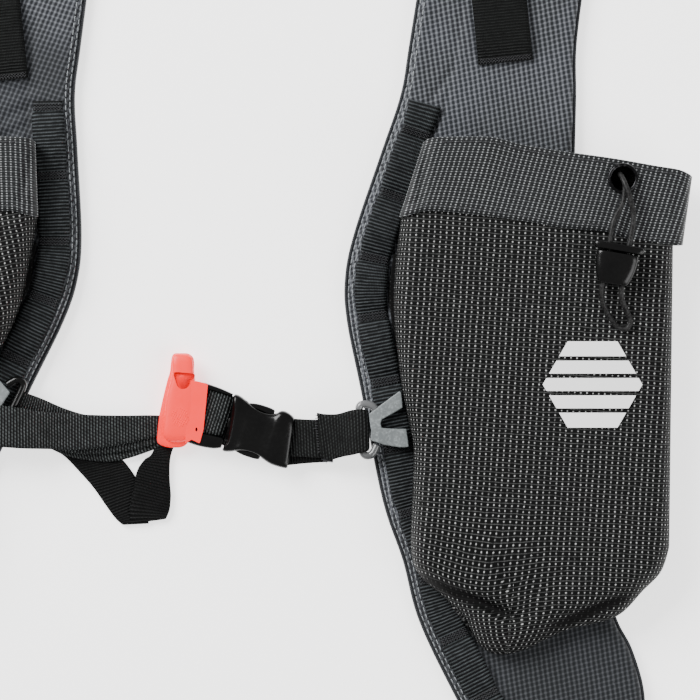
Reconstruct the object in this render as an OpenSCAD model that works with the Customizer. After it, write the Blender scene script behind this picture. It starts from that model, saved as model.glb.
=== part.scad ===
// Chest harness vest for running and hiking loads, laid flat on its back.
// +X is the wearer's left, +Y runs up towards the shoulders, +Z is away from the body.
// The vest is cut symmetric about its centre line and lies on the surface with a slight lean.

/* [Lay] */
// Sideways lean of the laid vest, in mm per mm of height
lay_sweep = 0.144; // [0:0.004:0.2]

/* [Straps] */
// Thickness of the lining cloth and of the face cloth
cloth_t = 1.0; // [0.6:0.1:1.4]
// Thickness of the strap padding
foam_t = 5.0; // [3:0.5:8]
// Width of the edge binding outside the cut edge
binding_w = 1.2; // [0.8:0.1:2]

/* [Daisy chain] */
// Width of the ribbed loop tape
daisy_w = 12.0; // [10:0.5:14]
// Distance from the strap's inner edge to the tape
daisy_inset = 3.2; // [2:0.2:5]
// Distance between two bar tacks
tack_pitch = 25.4; // [20:0.2:30]
// Height of the free space under each loop
loop_gap = 1.3; // [0.8:0.1:1.5]

/* [Pocket] */
// Inside height of the pocket, enough for a cased phone
pocket_room = 12.4; // [10:0.2:16]
// Wall of the mesh cloth
mesh_t = 0.8; // [0.6:0.1:1.2]
// Wall of the doubled hem
hem_t = 1.3; // [1:0.1:1.8]
// Radius of the hole in the eyelet
eyelet_r = 4.25; // [3.5:0.05:4.5]

/* [Cord and cord lock] */
// Diameter of the elastic drawcord
cord_d = 2.0; // [1.5:0.1:2.2]
// Thickness of the cord lock
lock_h = 7.0; // [6:0.5:9]

/* [Sternum strap] */
// Width of the sternum webbing
web_w = 15.0; // [14:0.5:16]
// Thickness of one layer of webbing
web_t = 1.3; // [1:0.1:1.6]
// Width of the side release buckle
buckle_w = 22.0; // [20:0.2:24]
// Thickness of the side release buckle
buckle_h = 10.0; // [9:0.5:11]
// Turn of the buckle in the plane of the vest, in degrees
buckle_turn = -18; // [-24:1:0]

/* [Hidden] */

RIGHT = 1;
LEFT = -1;
cloth_grey = [0.27, 0.30, 0.36];
liner_grey = [0.16, 0.16, 0.17];
tape_black = [0.13, 0.14, 0.15];
mesh_black = [0.06, 0.06, 0.07];
plastic_black = [0.05, 0.05, 0.06];
whistle_red = [0.98, 0.33, 0.33];

// Levels of the stacked layers
foam_z = cloth_t;
cover_z = cloth_t + foam_t;
strap_z = 2 * cloth_t + foam_t;
tape_t = 1.2;
pocket_z = strap_z + tape_t + 0.1;
pocket_top = pocket_z + 2 * mesh_t + pocket_room;
hem_top = pocket_top + hem_t - mesh_t + 0.2;

// Height about which the vest leans, and the offset that brings its box to the origin
lay_pivot = 40.6;
center_x = -22.04;
center_y = 53.56;

// Outline of one side before it leans: [distance from the centre line, height]
shoulder_y = 205;
inner_edge = [[152, -176], [132, -154], [113, -127], [97, -101], [88, -79], [77, -56], [63, -15],
    [54, 11], [51, 27], [52, 44], [58, 75], [62, 96], [62.5, 115], [63, 160], [62, shoulder_y]];
outer_edge = [[180, -168], [187, -150], [185, -130], [178, -113], [168, -96], [153, -50], [141, 5],
    [132, 55], [127, 94], [124, 118], [124, 160], [126, shoulder_y]];
neck_arch = [[62, shoulder_y], [59, 226], [47, 247], [26, 259], [0, 263]];
yoke_edge = [[0, 322], [58, 319], [92, 307], [111, 281], [122, 243], [126, shoulder_y]];

// Outline of the pocket from its inner mouth corner round the bottom, then straight up to its outer corner
pocket_foot = [[87, -52], [90, -76], [95, -85], [104, -92], [113, -100], [121, -111], [129, -114],
    [138, -112], [152, -105], [170, -100], [179, -90], [184.6, -83], [186.4, -74]];
pocket_round = concat([[69, 48.9], [71.5, 19], [77.4, -13], [84.6, -35]], pocket_foot);
// On the left, the sternum clip's arms press the pocket's edge in
pocket_pressed = concat([[69, 48.9], [71.5, 19], [74.2, 3], [76.6, -1], [82.4, -4.4], [84.2, -12],
    [86.4, -20], [87.3, -27], [87, -36]], pocket_foot);
pocket_corner = [171.3, 40.6];
hem_edge = [[72, 49], [73.3, 78.5], [125, 72.4], [174, 64], [171.3, 40.6]];
eyelet_at = [148.1, 63.6];

// Cord lock: place, direction towards the eyelet on the right side, and cord spacing
lock_at = [149.8, 31.5];
lock_turn = 80;
lock_turn_left = 84;
cord_gap = 3.6;
lock_z = pocket_top + 1.0;
cord_z = lock_z + lock_h / 2;

// Buckle: place of the face where its halves meet
buckle_at = [4.8, -27.2];
buckle_z = 0.8 + buckle_h / 2;

function bend(a, b, c, d, t) =
    0.5 * (2 * b + (c - a) * t + (2 * a - 5 * b + 4 * c - d) * t * t + (3 * b - a - 3 * c + d) * t * t * t);
function smooth(P, n) = concat([for (i = [0:len(P) - 2], k = [0:n - 1])
    bend(P[max(i - 1, 0)], P[i], P[i + 1], P[min(i + 2, len(P) - 1)], k / n)], [P[len(P) - 1]]);
function reversed(P) = [for (i = [len(P) - 1:-1:0]) P[i]];
function unit(v) = v / norm(v);
function lay(p, side) = [side * p[0] + lay_sweep * (p[1] - lay_pivot), p[1]];
function laid(P, side) = [for (p = P) lay(p, side)];

// Distance along a path at each of its points, and the place, heading and offset at a distance
function lengths(P) = [for (i = 0, s = 0; i < len(P); i = i + 1,
    s = i < len(P) ? s + norm(P[i] - P[i - 1]) : s) s];
function table(P, L, axis) = [for (i = [0:len(P) - 1]) [L[i], P[i][axis]]];
function place(P, L, s) = [lookup(s, table(P, L, 0)), lookup(s, table(P, L, 1))];
function heading(P, L, s) = unit(place(P, L, s + 1) - place(P, L, s - 1));
function beside(P, L, s, d, side) = let(t = heading(P, L, s)) place(P, L, s) + side * d * [t[1], -t[0]];
function shifted(P, d, side) = [for (i = [0:len(P) - 1])
    let(t = unit(P[min(i + 1, len(P) - 1)] - P[max(i - 1, 0)])) P[i] + side * d * [t[1], -t[0]]];

inner_path = [for (side = [LEFT, RIGHT]) laid(smooth(inner_edge, 4), side)];
inner_length = [for (P = inner_path) lengths(P)];
function path_of(side) = inner_path[side > 0 ? 1 : 0];
function length_of(side) = inner_length[side > 0 ? 1 : 0];
function height_table(P, L) = [for (i = [0:len(P) - 1]) [P[i][1], L[i]]];
function distance_at(side, y) = lookup(y, height_table(path_of(side), length_of(side)));

// Frames carried along a path, for a round cord
function tangents(P) = [for (i = [0:len(P) - 1]) unit(P[min(i + 1, len(P) - 1)] - P[max(i - 1, 0)])];
function carried(T, n0) = [for (i = 0, n = unit(n0 - (n0 * T[0]) * T[0]); i < len(T); i = i + 1,
    n = i < len(T) ? unit(n - (n * T[i]) * T[i]) : n) n];

module placed() {
    translate([-center_x, -center_y, 0]) children();
}

module slab(points, z0, z1) {
    translate([0, 0, z0]) linear_extrude(z1 - z0) polygon(points);
}

// A strip beside a side's inner edge, between two distances along it and two distances from it
module edge_strip(side, s0, s1, near, far, z0, z1, steps) {
    P = path_of(side);
    L = length_of(side);
    S = [for (k = [0:steps]) s0 + (s1 - s0) * k / steps];
    slab(concat([for (s = S) beside(P, L, s, near, side)],
        reversed([for (s = S) beside(P, L, s, far, side)])), z0, z1);
}

// A tube of round section along a route
module cord_tube(route, d, sides, n0) {
    T = tangents(route);
    N = carried(T, n0);
    last = len(route) - 1;
    points = [for (i = [0:last], k = [0:sides - 1])
        route[i] + d / 2 * (cos(360 * k / sides) * N[i] + sin(360 * k / sides) * cross(T[i], N[i]))];
    walls = [for (i = [0:last - 1], k = [0:sides - 1])
        [i * sides + k, (i + 1) * sides + k, (i + 1) * sides + (k + 1) % sides, i * sides + (k + 1) % sides]];
    caps = [[for (k = [0:sides - 1]) k], [for (k = [sides - 1:-1:0]) last * sides + k]];
    polyhedron(points, concat(walls, caps));
}

// ---- Padded straps ----

function strap_outline(side) = laid(concat(smooth(inner_edge, 4), reversed(smooth(outer_edge, 4))), side);

module strap_layer(side, z0, z1, paint) {
    color(paint) placed() slab(strap_outline(side), z0, z1);
}

module strap_binding(side) {
    inner = laid(smooth(inner_edge, 4), side);
    outer = laid(smooth(outer_edge, 4), side);
    color(liner_grey) placed() {
        slab(concat(inner, reversed(shifted(inner, -binding_w, side))), 0, strap_z);
        slab(concat(outer, reversed(shifted(outer, binding_w, side))), 0, strap_z);
    }
}

// ---- Yoke behind the neck ----

function both_sides(P) = concat(laid(P, RIGHT), reversed(laid([for (p = P) if (p[0] > 0) p], LEFT)));
function yoke_outline() = concat(
    laid(smooth(neck_arch, 4), RIGHT),
    reversed(laid([for (p = smooth(neck_arch, 4)) if (p[0] > 0) p], LEFT)),
    reversed(laid([for (p = smooth(yoke_edge, 4)) if (p[0] > 0) p], LEFT)),
    laid(smooth(yoke_edge, 4), RIGHT));

module yoke_layer(z0, z1, paint) {
    color(paint) placed() slab(yoke_outline(), z0, z1);
}

module yoke_binding() {
    neck = both_sides(smooth(neck_arch, 4));
    rim = both_sides(reversed(smooth(yoke_edge, 4)));
    color(liner_grey) placed() {
        slab(concat(neck, reversed(shifted(neck, -binding_w, RIGHT))), 0, strap_z);
        slab(concat(rim, reversed(shifted(rim, binding_w, RIGHT))), 0, strap_z);
    }
}

// An arch of webbing whose two ends are sewn to the yoke
haul_w = 20;
haul_span = 84;
haul_rise = 15;
haul_y = 292;
module haul_loop() {
    end_l = 14;
    half = haul_span / 2;
    under = [[-half, 0], [-half + end_l, 0], [-half + end_l + 9, haul_rise - 5], [-12, haul_rise],
        [12, haul_rise], [half - end_l - 9, haul_rise - 5], [half - end_l, 0], [half, 0]];
    over = [for (p = under) p + [0, 2]];
    color(tape_black) placed()
        translate([lay([0, haul_y], RIGHT)[0], haul_y + haul_w / 2, strap_z])
            rotate([90, 0, 0]) linear_extrude(haul_w) polygon(concat(under, reversed(over)));
}

// ---- Daisy chain: tape sewn down at bar tacks, with free loops between them ----

tack_l = 5;
daisy_low = -158;
daisy_high = 96;
// Extra length of the right tape's sewn upper end
daisy_tail = 9;
// Height below which the tape runs flat under the pocket
daisy_flat_top = -34;
daisy_flat_low = -112;
module daisy_chain(side) {
    start = distance_at(side, daisy_low);
    count = floor((distance_at(side, daisy_high) - start) / tack_pitch);
    near = daisy_inset;
    far = daisy_inset + daisy_w;
    color(tape_black) placed() difference() {
        union() {
            for (k = [0:count - 1]) {
                s = start + k * tack_pitch;
                y = place(path_of(side), length_of(side), s + tack_pitch / 2)[1];
                flat = y < daisy_flat_top && y > daisy_flat_low;
                lift = flat ? 0 : loop_gap;
                edge_strip(side, s, s + tack_l, near, far, strap_z, strap_z + tape_t + lift, 2);
                edge_strip(side, s + tack_l, s + tack_pitch, near, far,
                    strap_z + lift, strap_z + tape_t + lift, 4);
            }
            edge_strip(side, start + count * tack_pitch,
                start + count * tack_pitch + tack_l + (side == RIGHT ? daisy_tail : 0), near, far,
                strap_z, strap_z + tape_t + loop_gap, 2);
        }
        // where the pocket's edge presses on the loops
        slab(laid(shifted(pocket_edge(side), 0.3, RIGHT), side), pocket_z - 0.05, pocket_top);
        slab(laid(shifted(hem_edge, -0.3, RIGHT), side), pocket_z - 0.05, pocket_top);
    }
}

// ---- Elastic keeper across the strap above the pocket ----

keeper_w = 20.5;
keeper_l = 34;
keeper_at = [93.5, 118];
// The right keeper sits higher on its strap
keeper_up = 6.8;
module keeper_loop(side) {
    sewn = 5;
    rise = 1.8;
    at = lay(keeper_at, side) + [side == RIGHT ? 2.2 : 0, side == RIGHT ? keeper_up : 0];
    color(tape_black) placed() translate([at[0], at[1], strap_z]) rotate([0, 0, 6]) {
        translate([-keeper_w / 2, -keeper_l / 2, 0]) cube([keeper_w, sewn, tape_t + rise]);
        translate([-keeper_w / 2, keeper_l / 2 - sewn, 0]) cube([keeper_w, sewn, tape_t + rise]);
        translate([-keeper_w / 2, -keeper_l / 2, rise]) cube([keeper_w, keeper_l, tape_t]);
    }
}

// ---- Phone pocket ----

// The panel that the pocket is sewn to, outside the daisy chain
module pocket_back(side) {
    P = path_of(side);
    L = length_of(side);
    clear = daisy_inset + daisy_w + 0.4;
    inner = [for (y = [40, 20, 0, -20, -40, -60, -80, -96]) beside(P, L, distance_at(side, y), clear, side)];
    outer = laid([[168, -99], [178, -90], [184, -83], [185.4, -74], [171, 34], [171, 41]], side);
    color(cloth_grey) placed() slab(concat(inner, outer), strap_z, strap_z + tape_t);
}

function pocket_edge(side) = concat(smooth(side > 0 ? pocket_round : pocket_pressed, 3), [pocket_corner]);

module pocket_body(side) {
    edge = pocket_edge(side);
    last = len(edge) - 1;
    inside = shifted(edge, -mesh_t * 1.2, RIGHT);
    // the room runs out of the mouth along the last stretch of each side
    room = concat([inside[0] + 6 * unit(inside[0] - inside[1])], [for (i = [1:last - 1]) inside[i]],
        [inside[last] + 6 * unit(inside[last] - inside[last - 1])]);
    color(mesh_black) placed() difference() {
        slab(laid(edge, side), pocket_z, pocket_top);
        slab(laid(room, side), pocket_z + mesh_t, pocket_top - mesh_t);
    }
}

module pocket_hem(side) {
    e = hem_edge;
    room = [e[0] + [hem_t, -6], e[1] + [hem_t, 6], e[3] + [-hem_t, 6], e[4] + [-hem_t, -6]];
    at = lay(eyelet_at, side);
    color(cloth_grey) placed() difference() {
        slab(laid(e, side), pocket_z, hem_top);
        slab(laid(room, side), pocket_z + mesh_t, hem_top - hem_t);
        translate([at[0], at[1], hem_top - 2 * hem_t]) cylinder(r = eyelet_r + 0.4, h = 4 * hem_t, $fn = 48);
    }
}

// Rolled grommet: a flange on each side of the hem and a barrel through it
module eyelet(side) {
    at = lay(eyelet_at, side);
    flange = 1.3;
    lip = 0.7;
    color([0.10, 0.10, 0.11]) placed() translate([at[0], at[1], hem_top - hem_t])
        rotate_extrude($fn = 64) polygon([
            [eyelet_r, -lip], [eyelet_r + flange, -lip], [eyelet_r + flange, 0], [eyelet_r + 0.4, 0],
            [eyelet_r + 0.4, hem_t], [eyelet_r + flange, hem_t], [eyelet_r + flange, hem_t + lip],
            [eyelet_r, hem_t + lip]]);
}

// ---- Reflective patch: a plain hexagon cut into bars ----

patch_at = [140.2, -12.8];
patch_r = 18.5;
module reflective_patch() {
    bars = 5;
    gap = 1.6;
    color("white") placed() translate([patch_at[0], patch_at[1], pocket_top]) difference() {
        cylinder(r = patch_r, h = 0.4, $fn = 6);
        for (k = [1:bars - 1])
            translate([-patch_r, patch_r * (2 * k / bars - 1) * 0.87 - gap / 2, -1])
                cube([2 * patch_r, gap, 3]);
    }
}

// ---- Drawcord and cord lock, in a frame with +X towards the eyelet ----

function lock_angle(side) = side > 0 ? lock_turn : lock_turn_left;
module at_lock(side) {
    at = lay(lock_at, side);
    placed() translate([at[0], at[1], 0]) rotate([0, 0, lock_angle(side)]) scale_side(side) children();
}
module scale_side(side) {
    if (side > 0) children();
    else mirror([0, 1, 0]) children();
}

// One loop of cord: out of the eyelet, through the lock, round and back the same way.
// [along the lock's axis, across it, height]
cord_route = [[33.6, 4.0, hem_top - 3.4], [33.5, 3.9, hem_top - 0.8], [32.6, 3.3, hem_top + 1.8],
    [30.2, 1.9, hem_top + 3.7], [27.5, 0.3, hem_top + 4.1], [24.5, -1.2, cord_z + 0.4],
    [20, -3.0, cord_z], [16.5, -cord_gap, cord_z], [8, -cord_gap, cord_z], [-1, -cord_gap, cord_z],
    [-9, -cord_gap, cord_z], [-12.5, -4.6, cord_z - 0.8], [-16, -7.0, cord_z - 2.2],
    [-19.5, -9.2, cord_z - 2.8], [-22.6, -8.2, cord_z - 2.8], [-22.2, -4.6, cord_z - 2.6],
    [-18.5, -0.6, cord_z - 2.3], [-13.4, 2.8, cord_z - 1.0], [-9, cord_gap, cord_z],
    [-1, cord_gap, cord_z], [8, cord_gap, cord_z], [15, cord_gap, cord_z - 0.1],
    [19, 2.6, cord_z - 0.8], [22.8, 1.3, cord_z - 1.5], [27, 1.3, hem_top + 1.9],
    [29.0, 1.5, hem_top + 1.8], [30.7, 1.7, hem_top - 0.6], [30.9, 1.8, hem_top - 3.4]];

module drawcord(side) {
    color([0.04, 0.04, 0.04]) at_lock(side) cord_tube(smooth(cord_route, 2), cord_d, 8, [0, 1, 0]);
}

// Tapered housing with a flat channel for the two strands and the slider
slot_w = 2 * cord_gap + cord_d + 0.8;
slot_h = cord_d + 0.8;
module lock_housing(side) {
    front = 4.6;
    rear = -7.4;
    color(plastic_black) at_lock(side) difference() {
        slab([[front, -7.9], [front, 7.9], [1, 7.7], [-4, 7.0], [rear, 6.2], [rear, -6.2], [-4, -7.0], [1, -7.7]],
            lock_z, lock_z + lock_h);
        translate([rear - 1, -slot_w / 2, cord_z - slot_h / 2]) cube([front - rear + 2, slot_w, slot_h]);
    }
}

// Wing-headed wedge between the strands: pulled towards the eyelet, it lets the cord run
module lock_slider(side) {
    head = 5.0;
    head_l = 2.8;
    stem = cord_gap - cord_d / 2 - 0.4;
    color(plastic_black) at_lock(side) {
        translate([-5, -stem, cord_z - cord_d / 2]) cube([head + 5, 2 * stem, cord_d]);
        difference() {
            slab([[head, -8], [head + 0.6, -9.4], [head + head_l, -9.4], [head + head_l, 9.4],
                [head + 0.6, 9.4], [head, 8]], lock_z + 0.3, lock_z + lock_h - 0.3);
            for (k = [-1, 1])
                translate([head - 1, k * cord_gap - slot_h / 2, cord_z - slot_h / 2])
                    cube([head_l + 2, slot_h, slot_h]);
        }
    }
}

// ---- Sternum strap clips: V plates hooked on a loop of the daisy chain ----

// Each clip's place, and the turn that points its open side at its strap
clip_z = strap_z + tape_t + loop_gap + 0.2;
clip_t = 2.6;
clip_right_at = [57.1, -28.7];
clip_right_turn = 10;
clip_left_at = [-78.9, -20.6];
clip_left_turn = 158;
clip_bar_x = -4.6;
clip_bar_w = 2.2;
module sternum_clip(at, turn) {
    v_plate = [[0, 4.9], [10.6, 11], [13.8, 10.2], [13.8, 4.8], [5.6, 1.7], [5.6, -1.7], [13.8, -4.8],
        [13.8, -10.2], [10.6, -11], [0, -4.9]];
    rail = 2;
    rail_y = web_w / 2 + 0.6;
    color([0.35, 0.36, 0.38]) placed() translate([at[0], at[1], 0]) rotate([0, 0, turn]) {
        slab(v_plate, clip_z, clip_z + clip_t);
        // rails, the arms that join them to the plate, and the cross bar that holds the webbing
        for (k = [-1, 1]) {
            translate([clip_bar_x, k * (rail_y + rail / 2) - rail / 2, clip_z]) cube([6.6, rail, clip_t]);
            translate([0, k * 6.6 - 3, clip_z]) cube([2.0, 6, clip_t]);
        }
        translate([clip_bar_x, -rail_y - 0.4, clip_z + 0.6]) cube([clip_bar_w, 2 * rail_y + 0.8, clip_t - 1.2]);
    }
}

// ---- Sternum webbing ----

// A strap of web_w that follows a height profile [along, height] from a place in a direction
module web_run(at, turn, width, half_t, profile) {
    under = [for (p = profile) p - [0, half_t]];
    over = [for (p = profile) p + [0, half_t]];
    placed() translate([at[0], at[1], 0]) rotate([0, 0, turn]) translate([0, width / 2, 0])
        rotate([90, 0, 0]) linear_extrude(width) polygon(concat(under, reversed(over)));
}

bar_z = clip_z + clip_t / 2;
web_right_at = [26.6, -34.0];
module web_right() {
    color(tape_black) difference() {
        web_run(web_right_at, 6.6, web_w, web_t,
            [[0, buckle_z], [9, buckle_z - 0.4], [14, buckle_z + 0.6], [19, bar_z - 1.2], [24.8, bar_z]]);
        at_buckle() translate([female_l - 20, -15, -buckle_h]) cube([wrap_out + 20.1, 30, 2 * buckle_h]);
    }
}

// The front layer is the free tail, which lies over the left clip
web_left_at = [-91, -29.6];
module web_left() {
    over_clip = clip_z + clip_t + web_t / 2 + 0.2;
    color(tape_black) web_run(web_left_at, 0, web_w - 0.6, web_t / 2,
        [[0, over_clip], [21, over_clip], [27, over_clip - 3.4], [35, 6.6], [49, 5.2], [64, 5.2],
        [70, buckle_z - 0.4], [77, buckle_z]]);
}

// The layer beneath it carries the load from the left clip's bar to the buckle
web_under_at = [-73.0, -22.9];
module web_under() {
    color(tape_black) web_run(web_under_at, -12, web_w - 1, web_t / 2,
        [[0, bar_z], [3, bar_z - 2.4], [8, 6.4], [16, 3.6], [26, 3.0], [46, 3.0]]);
}

// The slack tail lies as two legs that meet in a fold
module web_slack() {
    leg_a = [[-63, -37.5], [-57.3, -40.2], [-51.6, -46], [-46.6, -51.8], [-41.9, -58.4], [-38.2, -63.5],
        [-36.2, -65.5], [-32.9, -65.5], [-24, -60], [-30.7, -47.7], [-34.9, -42], [-39, -38]];
    leg_b = [[-25, -37.6], [-27, -41.1], [-29.4, -44.3], [-30.6, -48], [-31.4, -56], [-32.8, -65.2],
        [-23.6, -64.3], [-19.1, -63.5], [-17.7, -59.6], [-17.3, -54.8], [-17.7, -46.9], [-17.2, -41.6],
        [-16.6, -37.6]];
    color(tape_black) placed() {
        slab(leg_a, 0, web_t);
        slab(leg_b, web_t, 2 * web_t);
    }
}

// ---- Side release buckle, in a frame with +X into the female half ----

module at_buckle() {
    placed() translate([buckle_at[0], buckle_at[1], buckle_z]) rotate([0, 0, buckle_turn]) children();
}

female_l = 24.6;
cavity_l = 15.6;
cavity_w = 20.0;
cavity_h = 6.2;
bar_half = 1.2;
window_x = 5.0;
window_l = 10.0;
module buckle_female() {
    half = buckle_w / 2;
    bar = 2.2;
    slot_l = 3.2;
    color(plastic_black) at_buckle() difference() {
        slab([[0.4, -half + 0.8], [1.2, -half], [4.0, -half], [6.2, -half + 1.9], [8.6, -half + 2.7],
            [12, -half + 2.7], [14.6, -half + 1.9], [17.2, -half], [female_l - 1.4, -half],
            [female_l, -half + 1.4], [female_l, half - 1.4], [female_l - 1.4, half], [17.2, half],
            [14.6, half - 1.9], [12, half - 2.7], [8.6, half - 2.7], [6.2, half - 1.9], [4.0, half],
            [1.2, half], [0.4, half - 0.8]], -buckle_h / 2, buckle_h / 2);
        translate([-1, -cavity_w / 2, -cavity_h / 2]) cube([cavity_l + 1, cavity_w, cavity_h]);
        for (k = [-1, 1])
            translate([window_x, k * half - 3, -cavity_h / 2 + 0.4]) cube([window_l, 6, cavity_h - 0.8]);
        translate([female_l - bar - slot_l, -web_w / 2 - 0.5, -buckle_h / 2 - 1])
            cube([slot_l, web_w + 1, buckle_h + 2]);
        for (z = [-buckle_h, bar_half])
            translate([female_l - bar - 1, -web_w / 2 - 0.5, z]) cube([bar + 2, web_w + 1, buckle_h - bar_half]);
    }
}

// Webbing turned round a buckle's bar, with its two layers on one another
wrap_out = 1.6;
module web_wrap(bar_low, bar_high, low, high) {
    clear = 0.15;
    color(tape_black) at_buckle() rotate([90, 0, 0]) translate([0, 0, -web_w / 2 + 0.3])
        linear_extrude(web_w - 0.6) difference() {
            translate([low, -bar_half - clear - web_t]) square([high - low, 2 * (bar_half + clear + web_t)]);
            translate([bar_low - clear, -bar_half - clear])
                square([bar_high - bar_low + 2 * clear, 2 * (bar_half + clear)]);
        }
}

male_l = 12;
tongue_w = 4.2;
module buckle_male() {
    half = buckle_w / 2;
    rail = 2.8;
    bar = 2.4;
    h = 5.4;
    color(plastic_black) at_buckle() {
        difference() {
            slab([[-male_l, -half + 0.6], [-1, -half], [0, -half + 1], [0, half - 1], [-1, half],
                [-male_l, half - 0.6]], -h / 2, h / 2);
            translate([-male_l + bar, -half + rail, -h]) cube([male_l - bar - 2.4, buckle_w - 2 * rail, 2 * h]);
            for (z = [-h, bar_half])
                translate([-male_l - 1, -half + rail, z]) cube([bar + 2, buckle_w - 2 * rail, h - bar_half]);
        }
        // centre tongue that guides the halves together
        slab([[-0.5, -tongue_w / 2], [11.5, -tongue_w / 2], [13.5, -tongue_w / 2 + 1],
            [13.5, tongue_w / 2 - 1], [11.5, tongue_w / 2], [-0.5, tongue_w / 2]], -2.0, 2.0);
    }
}

// Springy side arm with a rounded shoulder that fills the female half's window
prong_y = 7.0;
module prong(k) {
    root_y = k * prong_y;
    color(plastic_black) at_buckle()
        slab([[0.3, root_y - k * 1.0], [0.3, root_y + k * 1.0], [5.4, root_y + k * 1.3], [6.6, k * 9.3],
            [9.6, k * 9.7], [12.6, k * 9.3], [14.2, k * 7.8], [14.4, k * 6.4], [9, k * 6.6]], -2.5, 2.5);
}

// Flat pea-less whistle moulded on the web bar of the male half
module whistle() {
    z0 = -2.4;
    z1 = 3.6;
    body = [[-23.9, -14.4], [-23.2, -15.4], [-17.4, -15.5], [-15.0, -15.0], [-13.4, -12.9], [-12.05, -12.4],
        [-12.05, 11.2], [-14.8, 12.2], [-17.9, 12.8], [-19.6, 18.0], [-20.3, 19.4], [-22.0, 20.2],
        [-25.9, 19.9], [-27.7, 18.4], [-27.9, 16.0], [-26.4, 0.9], [-25.0, -8.0]];
    color(whistle_red) at_buckle() difference() {
        slab(body, z0, z1);
        translate([-34, -20, z0 - 1]) cube([19.4, 23.6, 4.8]);
        translate([-26.2, 9.5, z0 + 1.6]) cube([3.8, 13, 2.6]);
        translate([-24.4, 8.2, z1 - 2.2]) cube([5.4, 3.4, 3]);
    }
}

// ---- Lower ends: webbing tab and ladder lock ----

lower_w = 20;
tab_l = 20;
ladder_l = 24;
ladder_h = 4.4;
lower_z = cloth_t + foam_t / 2;
function end_middle(side) = (lay(inner_edge[0], side) + lay(outer_edge[0], side)) / 2;
function end_turn(side) = let(e = lay(outer_edge[0], side) - lay(inner_edge[0], side))
    side > 0 ? atan2(e[1], e[0]) - 90 : atan2(-e[1], -e[0]) - 90;

module at_lower_end(side) {
    m = end_middle(side);
    placed() translate([m[0], m[1], lower_z]) rotate([0, 0, end_turn(side)]) children();
}

// Doubled tab whose loop holds the bar of the ladder lock
bar_x = tab_l;
pin_r = 1.5;
module lower_web(side) {
    color(tape_black) at_lower_end(side) rotate([90, 0, 0]) translate([0, 0, -lower_w / 2])
        linear_extrude(lower_w) difference() {
            union() {
                polygon([[0, -web_t], [bar_x - 3, -web_t], [bar_x, -pin_r - 1.3], [bar_x, pin_r + 1.3],
                    [bar_x - 3, web_t], [0, web_t]]);
                translate([bar_x, 0]) circle(r = pin_r + 1.3, $fn = 40);
            }
            translate([bar_x, 0]) circle(r = pin_r + 0.05, $fn = 40);
        }
}

module ladder_lock(side) {
    rail = 2.6;
    gap = 3.4;
    half = lower_w / 2 + 0.8;
    color(plastic_black) at_lower_end(side) {
        translate([bar_x, 0, 0]) rotate([90, 0, 0])
            translate([0, 0, -half - rail / 2]) cylinder(r = pin_r, h = 2 * half + rail, $fn = 40);
        for (k = [-1, 1])
            translate([bar_x - 2, k * (half + rail / 2) - rail / 2, -ladder_h / 2]) cube([ladder_l, rail, ladder_h]);
        for (x = [bar_x + gap + 1.4, bar_x + 2 * gap + 5])
            translate([x, -half - 0.4, -ladder_h / 2 + 0.6]) cube([3.2, 2 * half + 0.8, ladder_h - 1.2]);
        translate([bar_x + ladder_l - 5, -half - 0.4, -ladder_h / 2]) cube([3, 2 * half + 0.8, ladder_h]);
    }
}

strap_layer(RIGHT, 0, foam_z, liner_grey);  // strap_liner_right
strap_layer(RIGHT, foam_z, cover_z, "gray");  // strap_foam_right
strap_layer(RIGHT, cover_z, strap_z, cloth_grey);  // strap_cover_right
strap_binding(RIGHT);  // strap_binding_right
strap_layer(LEFT, 0, foam_z, liner_grey);  // strap_liner_left
strap_layer(LEFT, foam_z, cover_z, "gray");  // strap_foam_left
strap_layer(LEFT, cover_z, strap_z, cloth_grey);  // strap_cover_left
strap_binding(LEFT);  // strap_binding_left
yoke_layer(0, foam_z, liner_grey);  // yoke_liner
yoke_layer(foam_z, cover_z, "gray");  // yoke_foam
yoke_layer(cover_z, strap_z, cloth_grey);  // yoke_cover
yoke_binding();
haul_loop();
daisy_chain(RIGHT);  // daisy_chain_right
daisy_chain(LEFT);  // daisy_chain_left
keeper_loop(RIGHT);  // keeper_loop_right
keeper_loop(LEFT);  // keeper_loop_left
pocket_back(RIGHT);  // pocket_back_right
pocket_body(RIGHT);  // pocket_body_right
pocket_hem(RIGHT);  // pocket_hem_right
pocket_back(LEFT);  // pocket_back_left
pocket_body(LEFT);  // pocket_body_left
pocket_hem(LEFT);  // pocket_hem_left
eyelet(RIGHT);  // eyelet_right
eyelet(LEFT);  // eyelet_left
drawcord(RIGHT);  // drawcord_right
drawcord(LEFT);  // drawcord_left
lock_housing(RIGHT);  // lock_housing_right
lock_slider(RIGHT);  // lock_slider_right
lock_housing(LEFT);  // lock_housing_left
lock_slider(LEFT);  // lock_slider_left
reflective_patch();
sternum_clip(clip_right_at, clip_right_turn);  // sternum_clip_right
sternum_clip(clip_left_at, clip_left_turn);  // sternum_clip_left
web_right();
web_left();
web_under();
web_slack();
web_wrap(-male_l, -male_l + 2.4, -male_l + 0.05, -7.9);  // web_wrap_male
web_wrap(female_l - 2.2, female_l, female_l - 3.8, female_l + wrap_out);  // web_wrap_female
buckle_female();
buckle_male();
prong(1);  // prong_upper
prong(-1);  // prong_lower
whistle();
lower_web(RIGHT);  // lower_web_right
lower_web(LEFT);  // lower_web_left
ladder_lock(RIGHT);  // ladder_lock_right
ladder_lock(LEFT);  // ladder_lock_left
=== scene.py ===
"""Looks of the chest harness vest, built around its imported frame.

Lengths in the making functions are millimetres, in the frame of the pattern: the vest's centre line is
x = 0, and CENTRE brings a point into the row's own frame. Meshes are written in metres.
"""

import math

import bmesh
import bpy
import numpy as np
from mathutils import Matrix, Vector, noise


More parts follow.
